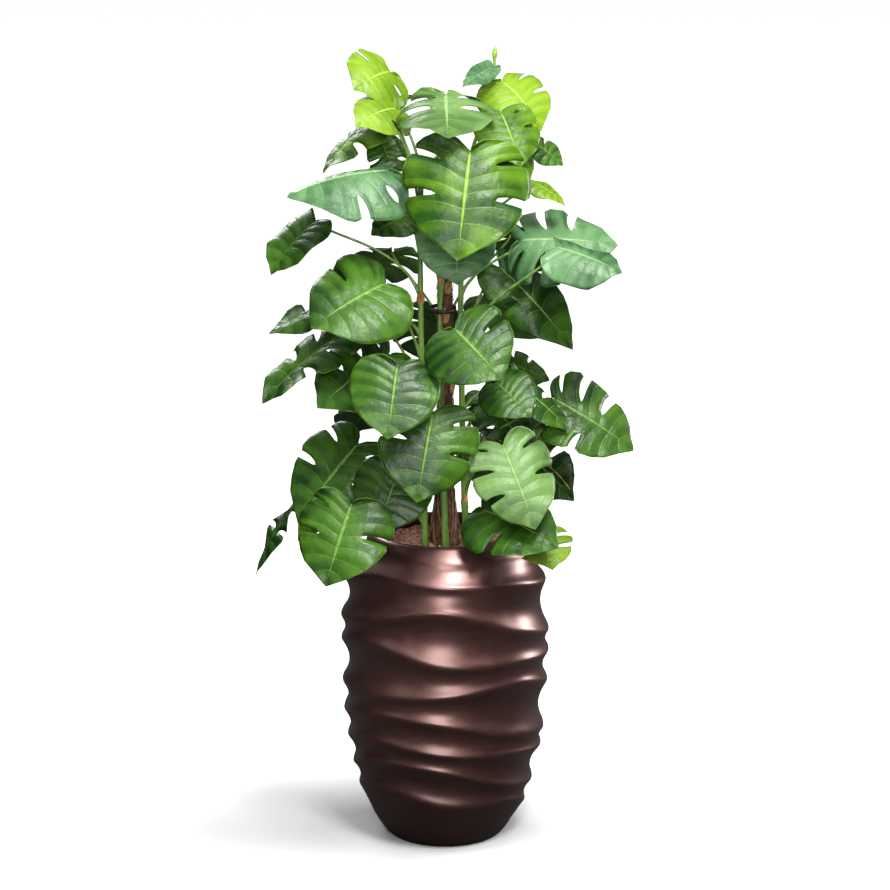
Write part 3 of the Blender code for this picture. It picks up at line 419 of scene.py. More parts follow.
def blade_grid(sign, leaf, number, cuts, points, marks, ribs):
    """Adds one half blade's points.

    Gives, for each line across it, its place on the midrib and its points below and above a cut.
    """
    _, length, _, _, face = leaf_frame(leaf)
    grid = []
    for s in half_lines(cuts):
        cut = next((c for c in cuts if c.place == s), None)
        low, high = [], []
        for t in row_heights(cuts, s):
            wide = opening(cut, t) if cut else 0.0
            for part, shift in ((low, -wide), (high, wide)):
                if shift == 0.0 and part is high:
                    part.append(low[-1])
                    continue
                flat = blade_flat(s + shift, t * (1 - (1 - rounded(cuts, s)) * t ** 5))
                key = round(flat.y, 6) if t == 0.0 or s == 1.0 else None
                if key is not None and key in ribs:
                    part.append(ribs[key])
                    continue
                seat = blade_solid(leaf, sign * flat.x, flat.y)
                points.append(within(seat + face * relief(s, t, number * 1.3 + sign, length)))
                marks.append((s, t))
                part.append(len(points) - 1)
                if key is not None:
                    ribs[key] = part[-1]
        grid.append((round(blade_flat(s, 0.0).y, 6), low, high))
    return grid


def leaf_blade(leaf, number, mats):
    """One blade: two half grids joined at the midrib, mapped for the veins and given its thickness."""
    points, faces, ribs, marks = [], [], {}, []
    grids = [blade_grid(sign, leaf, number, CUTS[kind], points, marks, ribs)
             for sign, kind in ((-1, leaf.left), (1, leaf.right))]
    for sign, grid in zip((-1, 1), grids):
        for (rib_a, _, high), (rib_b, low, _) in zip(grid, grid[1:]):
            for k in range(ROWS):
                between = [ribs[y] for y in sorted(ribs) if rib_a < y < rib_b] if k == 0 else []
                ring = (high[k], *between, low[k], low[k + 1], high[k + 1])
                faces.append(ring if sign > 0 else ring[::-1])
    made = mesh_piece("leaf_" + leaf.name, points, faces, mats)
    layer = made.data.uv_layers.new(name="vein_map")
    for loop in made.data.loops:
        layer.data[loop.index].uv = marks[loop.vertex_index]
    solid = made.modifiers.new("Thickness", "SOLIDIFY")
    solid.thickness, solid.offset, solid.material_offset = BLADE, 0.0, 1
    solid.use_even_offset = False
    return made


def within(point):
    """Keeps a point of a blade inside the CAD's box."""
    low, high = CAD_BOX
    return Vector([max(a + BLADE, min(b - BLADE, c)) for a, b, c in zip(low, high, point)])


def mesh_piece(name, points, faces, mats):
    """A smooth mesh object in the scene."""
    mesh = bpy.data.meshes.new(name)
    mesh.from_pydata([tuple(p) for p in points], [], faces)
    mesh.update()
    made = bpy.data.objects.new(name, mesh)
    bpy.context.scene.collection.objects.link(made)
    for mat in mats:
        mesh.materials.append(mat)
    mesh.shade_smooth()
    return made


def place(piece, slot, *nodes):
    """Puts a piece on the body and hides the CAD nodes that it stands for. The slot is not used."""
    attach(piece, "root")
    if nodes:
        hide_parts(*nodes)


def add_tube(points, faces, path, radii, sides=10):
    """Adds one closed tube along a path to a point and face list."""
    first, up = len(points), Vector((0.31, 0.95, 0.05))
    for i, centre in enumerate(path):
        ahead = (path[min(i + 1, len(path) - 1)] - path[max(i - 1, 0)]).normalized()
        side = ahead.cross(up).normalized()
        up = side.cross(ahead).normalized()
        for k in range(sides):
            a = TURN * k / sides
            points.append(centre + radii[i] * (math.cos(a) * side + math.sin(a) * up))
    for i in range(len(path) - 1):
        for k in range(sides):
            n = (k + 1) % sides
            low, high = first + i * sides, first + (i + 1) * sides
            faces.append((low + k, low + n, high + n, high + k))
    last = first + (len(path) - 1) * sides
    faces.append(tuple(range(first, first + sides))[::-1])
    faces.append(tuple(range(last, last + sides)))


# --- materials

class Nodes:
    """Short calls for building one material's node tree."""

    def __init__(self, name, rough, **sockets):
        self.mat = bpy.data.materials.new(name)
        self.mat.use_nodes = True
        self.tree = self.mat.node_tree
        self.shader = self.tree.nodes["Principled BSDF"]
        self.shader.inputs["Roughness"].default_value = rough
        for key, value in sockets.items():
            self.shader.inputs[key.replace("_", " ")].default_value = value

    def add(self, kind, **values):
        node = self.tree.nodes.new(kind)
        for key, value in values.items():
            setattr(node, key, value)
        return node

    def link(self, source, target):
        self.tree.links.new(source, target)

    def math(self, operation, a, b=None, c=None, clamp=False):
        node = self.add("ShaderNodeMath", operation=operation, use_clamp=clamp)
        for socket, value in zip(node.inputs, (a, b, c)):
            if value is None:
                continue
            if isinstance(value, (int, float)):
                socket.default_value = value
            else:
                self.link(value, socket)
        return node.outputs[0]

    def smooth(self, value, low, high, to_low=0.0, to_high=1.0):
        node = self.add("ShaderNodeMapRange", interpolation_type="SMOOTHSTEP")
        self.link(value, node.inputs["Value"])
        for key, number in zip(("From Min", "From Max", "To Min", "To Max"), (low, high, to_low, to_high)):
            node.inputs[key].default_value = number
        return node.outputs[0]

    def noise(self, scale, detail=3.0, vector=None, rough=0.55, distortion=0.0):
        node = self.add("ShaderNodeTexNoise")
        node.inputs["Scale"].default_value = scale
        node.inputs["Detail"].default_value = detail
        node.inputs["Roughness"].default_value = rough
        node.inputs["Distortion"].default_value = distortion
        self.link(vector or self.where(), node.inputs["Vector"])
        return node.outputs["Fac"]

    def where(self, scale=None):
        out = self.add("ShaderNodeTexCoord").outputs["Object"]
        if scale is None:
            return out
        node = self.add("ShaderNodeMapping")
        node.inputs["Scale"].default_value = scale
        self.link(out, node.inputs["Vector"])
        return node.outputs[0]

    def mix(self, factor, a, b):
        node = self.add("ShaderNodeMix", data_type="RGBA")
        for socket, value in zip((node.inputs[0], node.inputs[6], node.inputs[7]), (factor, a, b)):
            if isinstance(value, (int, float)):
                socket.default_value = value
            elif isinstance(value, tuple):
                socket.default_value = (*value, 1.0)
            else:
                self.link(value, socket)
        return node.outputs[2]

    def colour(self, value):
        self.link(value, self.shader.inputs["Base Color"])

    def rough(self, value):
        self.link(value, self.shader.inputs["Roughness"])

    def bump(self, height, strength, distance):
        node = self.add("ShaderNodeBump")
        node.inputs["Strength"].default_value = strength
        node.inputs["Distance"].default_value = distance
        self.link(height, node.inputs["Height"])
        self.link(node.outputs[0], self.shader.inputs["Normal"])


# tone: shaded colour, lit colour, vein colour, roughness
TONES = {
    # young: a paler, yellower green, as new leaves are, made brighter still by painted light that stands for
    # light shining through the thin blades
    "young": ((0.080, 0.165, 0.002), (0.190, 0.320, 0.014), (0.340, 0.500, 0.075), 0.40),
    "bright": ((0.009, 0.048, 0.002), (0.090, 0.200, 0.006), (0.230, 0.390, 0.048), 0.37),
    "mid": ((0.005, 0.028, 0.002), (0.052, 0.140, 0.010), (0.150, 0.290, 0.045), 0.35),
    # blue: its grey-blue cast is a painted sheen, the bright sky's reflection on the glossy blade
    "blue": ((0.024, 0.085, 0.026), (0.112, 0.235, 0.092), (0.220, 0.380, 0.150), 0.36),
    # pale: a lighter green, made lighter still and greyer by a painted sheen, the bright sky's reflection on
    # the glossy blade
    "pale": ((0.048, 0.110, 0.020), (0.140, 0.260, 0.070), (0.240, 0.390, 0.120), 0.38),
    "dark": ((0.004, 0.021, 0.002), (0.036, 0.112, 0.006), (0.110, 0.240, 0.026), 0.34),
}


def blade_material(tone, under):
    """The skin of a blade: side veins, midrib, pale margin, quilts with painted light and shade, and
    blotches; its underside is duller.
    """
    dark, light, vein, rough = TONES[tone]
    if under:
        dark = tuple(0.60 * c + 0.40 * v for c, v in zip(dark, (0.10, 0.20, 0.07)))
        light = tuple(0.65 * c + 0.35 * v for c, v in zip(light, (0.17, 0.29, 0.12)))
        rough += 0.18
    n = Nodes("blade_%s_%s" % (tone, "under" if under else "face"), rough,
              Specular_IOR_Level=0.20 if under else 0.27)
    split = n.add("ShaderNodeSeparateXYZ")
    map_node = n.add("ShaderNodeUVMap", uv_map="vein_map")
    n.link(map_node.outputs[0], split.inputs[0])
    s, t = split.outputs[0], split.outputs[1]
    wander = n.math("MULTIPLY_ADD", n.noise(11.0, 2.0), 0.16, -0.08)
    # distance from the nearest side vein, 0 on the vein and 0.5 midway
    turn = n.math("ADD", n.math("MULTIPLY", s, float(VEINS)), wander)
    apart = n.math("ABSOLUTE", n.math("SUBTRACT", n.math("FRACT", n.math("ADD", turn, 0.5)), 0.5))
    side = n.smooth(n.math("ADD", apart, n.math("MULTIPLY", t, 0.025)), 0.008, 0.036, 1.0, 0.0)
    side = n.math("MULTIPLY", side, n.smooth(t, 0.55, 0.95, 1.0, 0.0))
    rib = n.smooth(n.math("ADD", t, n.math("MULTIPLY", s, 0.022)), 0.022, 0.052, 1.0, 0.0)
    margin = n.smooth(t, 0.972, 0.992)
    blotch = n.noise(8.0, 4.0)
    fine = n.noise(95.0, 3.0)
    blister = n.noise(48.0, 3.0)
    # painted light and shade: each quilt between two veins is lighter on its upper side and darker on its
    # lower side, as light falling on the quilting would leave it
    painted_quilt_shade = n.math("SINE", n.math("MULTIPLY", turn, TURN))
    painted_quilt_shade = n.math("MULTIPLY", painted_quilt_shade, n.smooth(t, 0.04, 0.35))
    shade = n.math("MULTIPLY_ADD", painted_quilt_shade, 0.17, n.math("MULTIPLY", n.smooth(blotch, 0.38, 0.64), 0.80))
    tone_mix = n.math("ADD", shade, n.math("MULTIPLY", fine, 0.24), clamp=True)
    skin = n.mix(tone_mix, dark, light)
    skin = n.mix(n.math("MULTIPLY", side, 0.55), skin, vein)
    skin = n.mix(n.math("MULTIPLY", rib, 0.85), skin, vein)
    skin = n.mix(n.math("MULTIPLY", margin, 0.60), skin, vein)
    n.colour(skin)
    n.rough(n.math("MULTIPLY_ADD", n.noise(26.0, 3.0), 0.26, rough - 0.12, clamp=True))
    cells = n.add("ShaderNodeTexVoronoi")
    cells.inputs["Scale"].default_value = 260.0
    n.link(n.where(), cells.inputs["Vector"])
    puff = n.math("POWER", n.math("MULTIPLY", apart, 2.0), 0.5)
    raised = n.math("MULTIPLY_ADD", rib, 0.8, n.math("MULTIPLY", blister, 1.6))
    grain = n.math("MULTIPLY_ADD", cells.outputs[0], 0.05, n.math("MULTIPLY", fine, 0.08))
    n.bump(n.math("ADD", n.math("ADD", puff, raised), grain), 0.55, 0.0026)
    return n.mat


def rolled_material():
    """Pale green skin with streaks along the rolled leaf."""
    n = Nodes("rolled_leaf", 0.4)
    streak = n.noise(120.0, 3.0, n.where((1.0, 1.0, 0.10)))
    skin = n.mix(n.smooth(streak, 0.3, 0.7), (0.110, 0.270, 0.020), (0.330, 0.540, 0.080))
    n.colour(skin)
    n.bump(streak, 0.4, 0.0008)
    return n.mat


def stalk_material():
    """Green skin with long grain, brown patches and pale specks."""
    n = Nodes("stalk_skin", 0.42)
    grain = n.noise(60.0, 4.0, n.where((1.0, 1.0, 0.12)))
    patch = n.noise(11.0, 3.0)
    skin = n.mix(n.smooth(grain, 0.3, 0.7), (0.070, 0.180, 0.020), (0.230, 0.400, 0.075))
    skin = n.mix(n.smooth(patch, 0.56, 0.74), skin, (0.170, 0.080, 0.025))
    speck = n.noise(420.0, 1.0)
    n.colour(n.mix(n.smooth(speck, 0.60, 0.72, 0.0, 0.5), skin, (0.32, 0.42, 0.16)))
    n.rough(n.math("MULTIPLY_ADD", grain, 0.25, 0.30))
    n.bump(n.math("ADD", grain, n.math("MULTIPLY", speck, 0.3)), 0.35, 0.0008)
    return n.mat


def coir_material():
    """Brown fibre with red and mossy patches."""
    n = Nodes("coir_fibre", 0.92)
    strand = n.noise(300.0, 5.0, n.where((1.0, 1.0, 0.22)), 0.65, 0.6)
    patch = n.noise(24.0, 4.0)
    skin = n.mix(n.smooth(strand, 0.34, 0.68), (0.030, 0.012, 0.007), (0.230, 0.110, 0.055))
    skin = n.mix(n.smooth(patch, 0.50, 0.72), skin, (0.150, 0.045, 0.022))
    skin = n.mix(n.smooth(n.noise(70.0, 4.0), 0.58, 0.75, 0.0, 0.7), skin, (0.060, 0.080, 0.014))
    n.colour(skin)
    n.bump(n.math("ADD", strand, n.math("MULTIPLY", patch, 0.6)), 1.0, 0.003)
    return n.mat


def root_material():
    """Brown skin with long grain."""
    n = Nodes("root_skin", 0.8)
    grain = n.noise(150.0, 4.0, n.where((1.0, 1.0, 0.3)))
    n.colour(n.mix(n.smooth(grain, 0.3, 0.7), (0.060, 0.028, 0.014), (0.300, 0.170, 0.085)))
    n.bump(grain, 0.7, 0.0015)
    return n.mat


def husk_material():
    """Dry, pale brown and fibrous."""
    n = Nodes("husk_dry", 0.7)
    grain = n.noise(120.0, 4.0, n.where((1.0, 1.0, 0.15)))
    n.colour(n.mix(n.smooth(grain, 0.3, 0.7), (0.28, 0.10, 0.035), (0.62, 0.34, 0.15)))
    n.bump(grain, 0.6, 0.001)
    return n.mat


def gravel_material():
    """Red-brown stones, each a little different, with some grit."""
    n = Nodes("gravel_red", 0.75)
    cell = n.add("ShaderNodeTexVoronoi")
    cell.inputs["Scale"].default_value = 170.0
    n.link(n.where(), cell.inputs["Vector"])
    pick = n.add("ShaderNodeSeparateColor")
    n.link(cell.outputs["Color"], pick.inputs[0])
    skin = n.mix(pick.outputs[0], (0.340, 0.105, 0.070), (0.760, 0.380, 0.290))
    skin = n.mix(n.smooth(pick.outputs[1], 0.78, 0.95), skin, (0.78, 0.52, 0.44))
    grit = n.noise(900.0, 3.0)
    n.colour(n.mix(n.math("MULTIPLY", grit, 0.4), skin, (0.07, 0.025, 0.018)))
    n.rough(n.math("MULTIPLY_ADD", grit, 0.3, 0.55))
    n.bump(grit, 0.6, 0.0006)
    return n.mat


def soil_material():
    """Dark crumbs."""
    n = Nodes("soil_earth", 0.97)
    crumb = n.noise(160.0, 6.0)
    n.colour(n.mix(n.smooth(crumb, 0.35, 0.7), (0.016, 0.009, 0.006), (0.085, 0.050, 0.030)))
    n.bump(crumb, 0.9, 0.003)
    return n.mat


def planter_material():
    """Dark red-brown metallic lacquer, with painted shade that darkens it towards the foot."""
    n = Nodes("planter_lacquer", 0.36, Metallic=0.85, Coat_Weight=0.55, Coat_Roughness=0.30, Coat_IOR=1.6)
    cloud = n.noise(5.0, 4.0)
    flake = n.noise(1300.0, 2.0)
    brushed = n.noise(30.0, 3.0, n.where((1.0, 1.0, 2.5)))
    skin = n.mix(n.smooth(cloud, 0.34, 0.68), (0.092, 0.034, 0.028), (0.140, 0.060, 0.050))
    skin = n.mix(n.smooth(brushed, 0.42, 0.74, 0.0, 0.25), skin, (0.150, 0.088, 0.080))
    skin = n.mix(n.smooth(flake, 0.56, 0.74, 0.0, 0.22), skin, (0.26, 0.17, 0.15))
    split = n.add("ShaderNodeSeparateXYZ")
    n.link(n.where(), split.inputs[0])
    # painted shade: the lacquer's colour darkens towards the foot, where less light reaches
    n.colour(n.mix(n.smooth(split.outputs[2], 0.0, 0.30, 0.55, 0.0), skin, (0.020, 0.008, 0.007)))
    n.rough(n.math("MULTIPLY_ADD", brushed, 0.08, n.math("MULTIPLY_ADD", flake, 0.06, 0.31)))
    n.bump(flake, 0.06, 0.0010)
    return n.mat


def tie_material():
    """Black plastic."""
    n = Nodes("tie_black", 0.45)
    grain = n.noise(320.0, 3.0)
    n.colour(n.mix(grain, (0.006, 0.006, 0.006), (0.030, 0.030, 0.030)))
    n.bump(grain, 0.3, 0.0004)
    return n.mat


def floor_material():
    """White paper: the camera sees it bright, as in a lit cove, and the object picks up little of it. Away
    from the planter's foot it glows for the camera with painted light, which washes out cast shadows.
    """
    n = Nodes("floor_pale", 0.9)
    path = n.add("ShaderNodeLightPath").outputs["Is Camera Ray"]
    n.colour(n.mix(path, (0.03, 0.03, 0.03), (0.46, 0.46, 0.46)))
    # painted light: for the camera the floor glows, from nothing around a point a little left of the plant's
    # axis to full brightness far out, so cast shadows show only near the foot
    far = n.add("ShaderNodeVectorMath", operation="LENGTH")
    shifted = n.add("ShaderNodeVectorMath", operation="ADD")
    shifted.inputs[1].default_value = (0.16, 0.0, 0.0)
    n.link(n.where((0.80, 1.7, 1.0)), shifted.inputs[0])
    n.link(shifted.outputs[0], far.inputs[0])
    painted_glow = n.smooth(far.outputs["Value"], 0.12, 0.80, 0.0, 1.0)
    n.shader.inputs["Emission Color"].default_value = (1.0, 1.0, 1.0, 1.0)
    n.link(n.math("MULTIPLY", path, painted_glow), n.shader.inputs["Emission Strength"])
    return n.mat


# --- pieces

def ring_faces(rows, count):
    """Faces of a closed solid made of rings of points, one above the other."""
    faces = []
    for i in range(rows - 1):
        low, high = i * count, (i + 1) * count
        for k in range(count):
            after = (k + 1) % count
            faces.append((low + k, low + after, high + after, high + k))
    return faces + [tuple(range(count))[::-1], tuple(range((rows - 1) * count, rows * count))]


def make_planter():
    """The planter's shell, row by row: up the waves outside, over the lip and down inside."""
    rows = [[point] * AROUND for point in FOOT]
    for i in reversed(range(len(RIDGES))):
        for j in reversed(range(PER_WAVE)):
            phase = j / PER_WAVE
            rows.append([outside(i, phase, TURN * k / AROUND) for k in range(AROUND)])
    rows += [[point] * AROUND for point in LIP]
    rows += [[(r, z)] * AROUND for z, r in reversed(INNER[:-1])]
    points = [polar(r, TURN * k / AROUND, z) for row in rows for k, (r, z) in enumerate(row)]
    made = mesh_piece("planter_shell", points, ring_faces(len(rows), AROUND), [planter_material()])
    smooth_waves(made, len(rows))
    place(made, "planter_lacquer", "planter")


def smooth_waves(made, rows):
    """Softens the crests a little, as thick lacquer does, and leaves the foot and the mouth as they are."""
    points = [v.co.copy() for v in made.data.vertices]
    passes = 2
    first, last = len(FOOT) + 1, rows - len(LIP) - len(INNER) + 1
    for _ in range(passes):
        fresh = [p.copy() for p in points]
        for i in range(first, last):
            for k in range(AROUND):
                here = i * AROUND + k
                near = (points[here - AROUND] + points[here + AROUND]) / 2
                fresh[here] = points[here].lerp(near, 0.5)
        points = fresh
    for vertex, point in zip(made.data.vertices, points):
        vertex.co = point


def make_gravel():
    """Small rough stones lying on the bed, spread evenly over it and kept clear of the pole and the stems."""
    draw = random.Random(5)
    stones, edge = 2600, 64
    radius = along(INNER, GRAVEL_TOP) - 0.005
    seed = bmesh.new()
    bmesh.ops.create_icosphere(seed, subdivisions=1, radius=1.0)
    shape = [v.co.copy() for v in seed.verts]
    tris = [tuple(v.index for v in f.verts) for f in seed.faces]
    seed.free()
    points, faces = [], []
    pole_clear, stem_clear = 0.034, 0.009
    keep_out = [(0.0, 0.0, pole_clear)] + [(p[0][0], p[0][1], stem_clear) for p in STEMS.values()]
    for _ in range(stones):
        r, a = radius * math.sqrt(draw.random()), TURN * draw.random()
        x, y = r * math.cos(a), r * math.sin(a)
        size = draw.uniform(0.0021, 0.0040)
        spin = draw.uniform(0, math.pi)
        lift, tall = draw.uniform(-0.0022, 0.0010), draw.uniform(0.6, 0.95)
        if any(math.hypot(x - kx, y - ky) < kr for kx, ky, kr in keep_out):
            continue
        first = len(points)
        for co in shape:
            rough = 1 + 0.28 * noise.noise(co * 2.3 + Vector((x, y, 0)) * 400)
            dx = co.x * math.cos(spin) - co.y * math.sin(spin)
            dy = co.x * math.sin(spin) + co.y * math.cos(spin)
            points.append(Vector((x + dx * size * rough * 1.15, y + dy * size * rough,
                                  GRAVEL_TOP - 0.0008 + lift + co.z * size * rough * tall)))
        faces += [tuple(first + v for v in tri) for tri in tris]
    # the bed under the stones, a flat round slab
    first, reach = len(points), radius + 0.002
    points += [polar(reach, TURN * k / edge, GRAVEL_TOP - 0.003) for k in range(edge)]
    points += [points[first + k] - Vector((0, 0, 0.015)) for k in range(edge)]
    faces.append(tuple(range(first, first + edge)))
    faces.append(tuple(range(first + edge, first + 2 * edge))[::-1])
    faces += [(first + k, first + edge + k, first + edge + (k + 1) % edge, first + (k + 1) % edge)
              for k in range(edge)]
    made = mesh_piece("gravel_bed", points, faces, [gravel_material()])
    made.data.shade_flat()
    place(made, "gravel_red", "gravel")


def pole_radius(z):
    """Radius of the climbing pole at a height."""
    return along(POLE, z)


def make_pole():
    """The coir wrap: a lumpy core with fibres lying over it in crossing turns."""
    count, levels, points = 40, 220, []
    foot, top = 0.601, 1.409
    heights = [foot + (top - foot) * i / levels for i in range(levels + 1)]
    for z in heights:
        for k in range(count):
            a = TURN * k / count
            at = polar(1, a, z * 22)
            lump = 1 + 0.10 * noise.noise(at * 1.5) + 0.07 * noise.noise(at * 5.0)
            points.append(polar((pole_radius(z) - 0.0016) * lump, a, z))
    core = mesh_piece("coir_core", points, ring_faces(len(heights), count), [coir_material()])
    place(core, "coir_fibre", "coir_pole")
    draw = random.Random(11)
    fibre_count, bends = 520, 8
    points, faces = [], []
    for _ in range(fibre_count):
        z, a = draw.uniform(0.615, 1.39), draw.uniform(0, TURN)
        rise, turn = draw.uniform(-0.05, 0.06), draw.uniform(0.6, 2.4) * draw.choice((-1, 1))
        path = []
        for i in range(bends + 1):
            f = i / bends
            level = min(1.40, max(0.612, z + rise * f + 0.004 * math.sin(7 * f + a)))
            swell = 0.97 + 0.08 * math.sin(math.pi * f)
            r = pole_radius(level) * swell + 0.0016 * noise.noise(Vector((z, f * 3, a)))
            path.append(polar(r, a + turn * f, level))
        thick = draw.uniform(0.00022, 0.0006)
        add_tube(points, faces, path, [thick] * len(path), 4)
    fibres = mesh_piece("coir_fibres", points, faces, [coir_material()])
    place(fibres, "coir_fibre")


def wavy(path, amount, seed):
    """Shifts a path's points sideways by smooth noise."""
    shifted = []
    for p in path:
        dx = noise.noise(p * 9 + Vector((seed, 0, 0)))
        dy = noise.noise(p * 9 + Vector((0, seed, 0)))
        shifted.append(p + amount * Vector((dx, dy, 0)))
    return shifted


def add_stem(points, faces, name, index):
    """A climbing stem, thinner towards the top, with a ring at each old leaf."""
    steps, line = 70, STEMS[name]
    low, high = line[0][2], line[-1][2]
    path = [stem_point(name, low + (high - low) * i / steps) for i in range(steps + 1)]
    radii = []
    for i, p in enumerate(path):
        base = STEM_RADIUS - 0.0026 * i / steps
        ring = (p.z * 14 + index * 0.3) % 1.0
        radii.append(base * (1.0 + 0.16 * math.exp(-((ring - 0.5) / 0.07) ** 2)))
    radii[-1] *= 0.4
    add_tube(points, faces, path, radii, 14)


def add_stalk(points, faces, leaf):
    """A leaf's stalk, swollen where it leaves the stem and just before the blade."""
    path = stalk_path(leaf, 26)
    face = leaf_frame(leaf)[4]
    path[-1] = path[-1] + face * 0.0038
    radii = []
    for i in range(len(path)):
        f = i / (len(path) - 1)
        swell = 0.0016 * math.exp(-(f / 0.12) ** 2) + 0.0006 * math.exp(-((f - 0.93) / 0.05) ** 2)
        radii.append(PETIOLE + 0.0003 + swell - 0.0006 * f)
    add_tube(points, faces, path, radii, 10)


def make_stems():
    """Each stem with the stalks that it bears, and all the roots as one piece."""
    skin, bark = stalk_material(), root_material()
    for index, name in enumerate(STEMS):
        points, faces = [], []
        add_stem(points, faces, name, index)
        for leaf in LEAVES:
            if leaf.stem == name:
                add_stalk(points, faces, leaf)
        if name == NEW_LEAF_STEM:
            path = sheath_path(24)
            add_tube(points, faces, path, [0.0044 - 0.0016 * i / 24 for i in range(len(path))], 12)
        made = mesh_piece("stalks_" + name.split("_")[1], points, faces, [skin])
        place(made, "stem_skin", name)
    points, faces = [], []
    add_aerial_roots(points, faces)
    add_foot_roots(points, faces)
    roots = mesh_piece("aerial_roots", points, faces, [bark])
    place(roots, "stem_skin")


def add_aerial_roots(points, faces):
    """The long roots that hang free of the pole."""
    steps = 24
    for root in ROOTS:
        radii = [0.0017 - 0.0007 * i / steps for i in range(steps + 1)]
        add_tube(points, faces, wavy(root_path(root, steps), 0.002, 3.0), radii, 8)


def add_foot_roots(points, faces):
    """Short roots that run down the foot of the pole into the gravel."""
    draw = random.Random(3)
    count, steps, bottom = 16, 12, 0.6205
    for k in range(count):
        a, high = TURN * k / count + draw.uniform(-0.15, 0.15), draw.uniform(0.66, 0.80)
        path = []
        for i in range(steps + 1):
            f = i / steps
            z = high + (bottom - high) * f
            r = pole_radius(z) + 0.0005 + 0.006 * f ** 3
            path.append(polar(r, a + 0.5 * math.sin(3 * f + k), z))
        add_tube(points, faces, wavy(path, 0.0015, k), [draw.uniform(0.0014, 0.0026)] * len(path), 8)


def make_new_leaf():
    """The rolled leaf: a spindle whose free edge winds round it up to a small open tip."""
    steps, sides = 60, 28
    last = len(NEW_LEAF_RADII) - 1
    points = []
    for i in range(steps + 1):
        f = i / steps
        centre = NEW_LEAF_FOOT.lerp(NEW_LEAF_TIP - Vector((0.0, 0.0, 0.001)), f)
        radius = along([(k / last, r) for k, r in enumerate(NEW_LEAF_RADII)], f)
        for k in range(sides):
            turn = (k / sides + 1.6 * f) % 1.0
            step = 0.80 + 0.20 * turn
            points.append(centre + polar(radius * step, TURN * k / sides, 0))
    made = mesh_piece("leaf_rolled", points, ring_faces(steps + 1, sides), [rolled_material()])
    place(made, "leaf_young", "new_leaf")


def make_husks():
    """Dry sheaths left on the stems and the pole where old leaves stood."""
    draw = random.Random(8)
    points, faces = [], []
    for name, z in HUSKS:
        lean = draw.uniform(-2.6, -0.5)
        out = polar(1, lean, 0)
        base = stem_point(name, z) if name in STEMS else out * (pole_radius(z) - 0.002) + Vector((0, 0, z))
        side = Vector((-out.y, out.x, 0.0))
        tall, wide = draw.uniform(0.026, 0.040), draw.uniform(0.007, 0.010)
        first = len(points)
        for i in range(9):
            f = i / 8
            for j in range(5):
                g = (j - 2) / 2
                spread = wide * math.sin(math.pi * (0.18 + 0.8 * f)) * g
                points.append(base + out * (0.0052 + 0.007 * f * f - 0.003 * g * g) + side * spread
                              + Vector((0, 0, tall * f)))
        faces += [(first + i * 5 + j, first + i * 5 + j + 1, first + i * 5 + j + 6, first + i * 5 + j + 5)
                  for i in range(8) for j in range(4)]
    made = mesh_piece("dry_sheaths", points, faces, [husk_material()])
    solid = made.modifiers.new("Thickness", "SOLIDIFY")
    solid.thickness = 0.0006
    place(made, "stem_skin")


def make_tie():
    """The flat band round the pole and the front stem, with a slightly domed section."""
    centre_x, centre_y, height, half_x, half_y = -0.004, -0.017, 1.116, 0.0265, 0.0415
    section = ((-0.0003, -0.0036), (0.0004, -0.004), (0.0006, 0.0), (0.0004, 0.004), (-0.0003, 0.0036))
    turns, points = 48, []
    for k in range(turns):
        a = TURN * k / turns
        centre = Vector((centre_x + half_x * math.cos(a), centre_y + half_y * math.sin(a), height))
        out = polar(1, a, 0)
        for d, h in section:
            points.append(centre + out * d + Vector((0, 0, h)))
    faces = [(5 * k + j, 5 * ((k + 1) % turns) + j, 5 * ((k + 1) % turns) + (j + 1) % 5, 5 * k + (j + 1) % 5)
             for k in range(turns) for j in range(5)]
    made = mesh_piece("tie_band", points, faces, [tie_material()])
    place(made, "tie_black", "pole_tie")


def make_leaves():
    """Every blade, in its tone."""
    mats = {tone: [blade_material(tone, False), blade_material(tone, True)] for tone in TONES}
    for number, leaf in enumerate(LEAVES):
        place(leaf_blade(leaf, number, mats[leaf.tone]), "leaf_" + leaf.tone, leaf.name)


# --- stage

# Lamps: name, place, the point each faces, width and height, watts.
LIGHTS = (
    ("key", (0.8, -2.4, 4.1), (0.0, 0.0, 1.0), (1.0, 1.0), 190),
    ("fill", (-3.2, -2.2, 2.4), (0.0, 0.0, 1.2), (1.2, 1.6), 6),
    ("front", (0.0, -4.2, 2.1), (0.0, 0.0, 1.1), (1.5, 2.4), 125),
    ("side", (3.2, 1.4, 1.4), (0.0, 0.0, 0.4), (0.9, 0.9), 62),
    ("back", (-1.6, 3.2, 3.0), (0.0, 0.0, 0.9), (1.6, 1.6), 85),
    ("top", (0.1, -1.5, 5.0), (0.0, -0.2, 0.6), (1.0, 0.8), 90),
)
FLOOR_REACH = 30


def area_light(name, where, target, size, power):
    """A rectangular white lamp that faces a point."""
    data = bpy.data.lights.new(name, "AREA")
    data.shape, data.size, data.size_y = "RECTANGLE", size[0], size[1]
    data.energy = power
    light = bpy.data.objects.new(name, data)
    light.location = where
    light.rotation_euler = (Vector(target) - Vector(where)).to_track_quat("-Z", "Y").to_euler()
    bpy.context.scene.collection.objects.link(light)


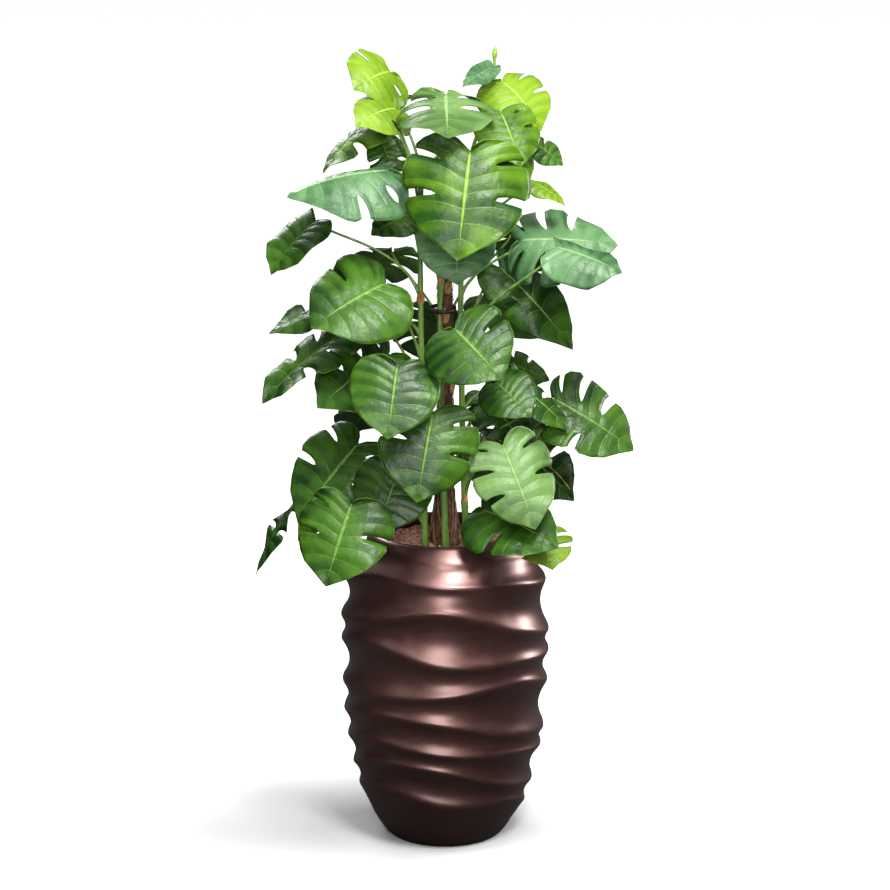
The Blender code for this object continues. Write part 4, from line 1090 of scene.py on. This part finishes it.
def make_world():
    """Soft light from above, dim towards the horizon; the camera sees plain white."""
    world = bpy.data.worlds.new("studio")
    world.use_nodes = True
    tree = world.node_tree
    split = tree.nodes.new("ShaderNodeSeparateXYZ")
    tree.links.new(tree.nodes.new("ShaderNodeTexCoord").outputs["Generated"], split.inputs[0])
    high = tree.nodes.new("ShaderNodeMapRange")
    tree.links.new(split.outputs[2], high.inputs["Value"])
    for key, number in zip(("From Min", "From Max", "To Min", "To Max"), (0.45, 1.0, 0.03, 0.95)):
        high.inputs[key].default_value = number
    pick = tree.nodes.new("ShaderNodeMix")
    tree.links.new(tree.nodes.new("ShaderNodeLightPath").outputs["Is Camera Ray"], pick.inputs[0])
    tree.links.new(high.outputs[0], pick.inputs[2])
    pick.inputs[3].default_value = 1.0
    tree.links.new(pick.outputs[0], tree.nodes["Background"].inputs[1])
    tree.nodes["Background"].inputs[0].default_value = (1.0, 1.0, 1.0, 1.0)
    bpy.context.scene.world = world


def make_stage():
    """Floor, world, lamps and camera."""
    corners = [Vector((x * FLOOR_REACH, y * FLOOR_REACH, 0)) for x, y in ((-1, -1), (1, -1), (1, 1), (-1, 1))]
    floor = mesh_piece("floor", corners, [(0, 1, 2, 3)], [floor_material()])
    make_world()
    for light in LIGHTS:
        area_light(*light)
    camera = bpy.data.objects.new("camera", bpy.data.cameras.new("camera"))
    camera.location = CAMERA_AT
    camera.rotation_euler = (math.radians(90 - CAMERA_PITCH), 0, 0)
    camera.data.sensor_width, camera.data.lens, camera.data.clip_end = 36.0, CAMERA_LENS, 200
    bpy.context.scene.collection.objects.link(camera)
    bpy.context.scene.camera = camera
    bpy.context.scene.view_settings.view_transform = "Standard"


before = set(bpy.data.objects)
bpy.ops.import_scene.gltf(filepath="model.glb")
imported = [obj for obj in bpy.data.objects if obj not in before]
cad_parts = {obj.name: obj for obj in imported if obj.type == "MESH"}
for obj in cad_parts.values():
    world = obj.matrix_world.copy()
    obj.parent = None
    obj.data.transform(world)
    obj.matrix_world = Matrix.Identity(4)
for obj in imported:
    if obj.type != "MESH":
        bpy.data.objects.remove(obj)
CAD_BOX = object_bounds()
make_planter()
make_gravel()
make_pole()
make_stems()
make_new_leaf()
make_husks()
make_tie()
make_leaves()
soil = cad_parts["soil"]
soil.data.materials.clear()
soil.data.materials.append(soil_material())
make_stage()
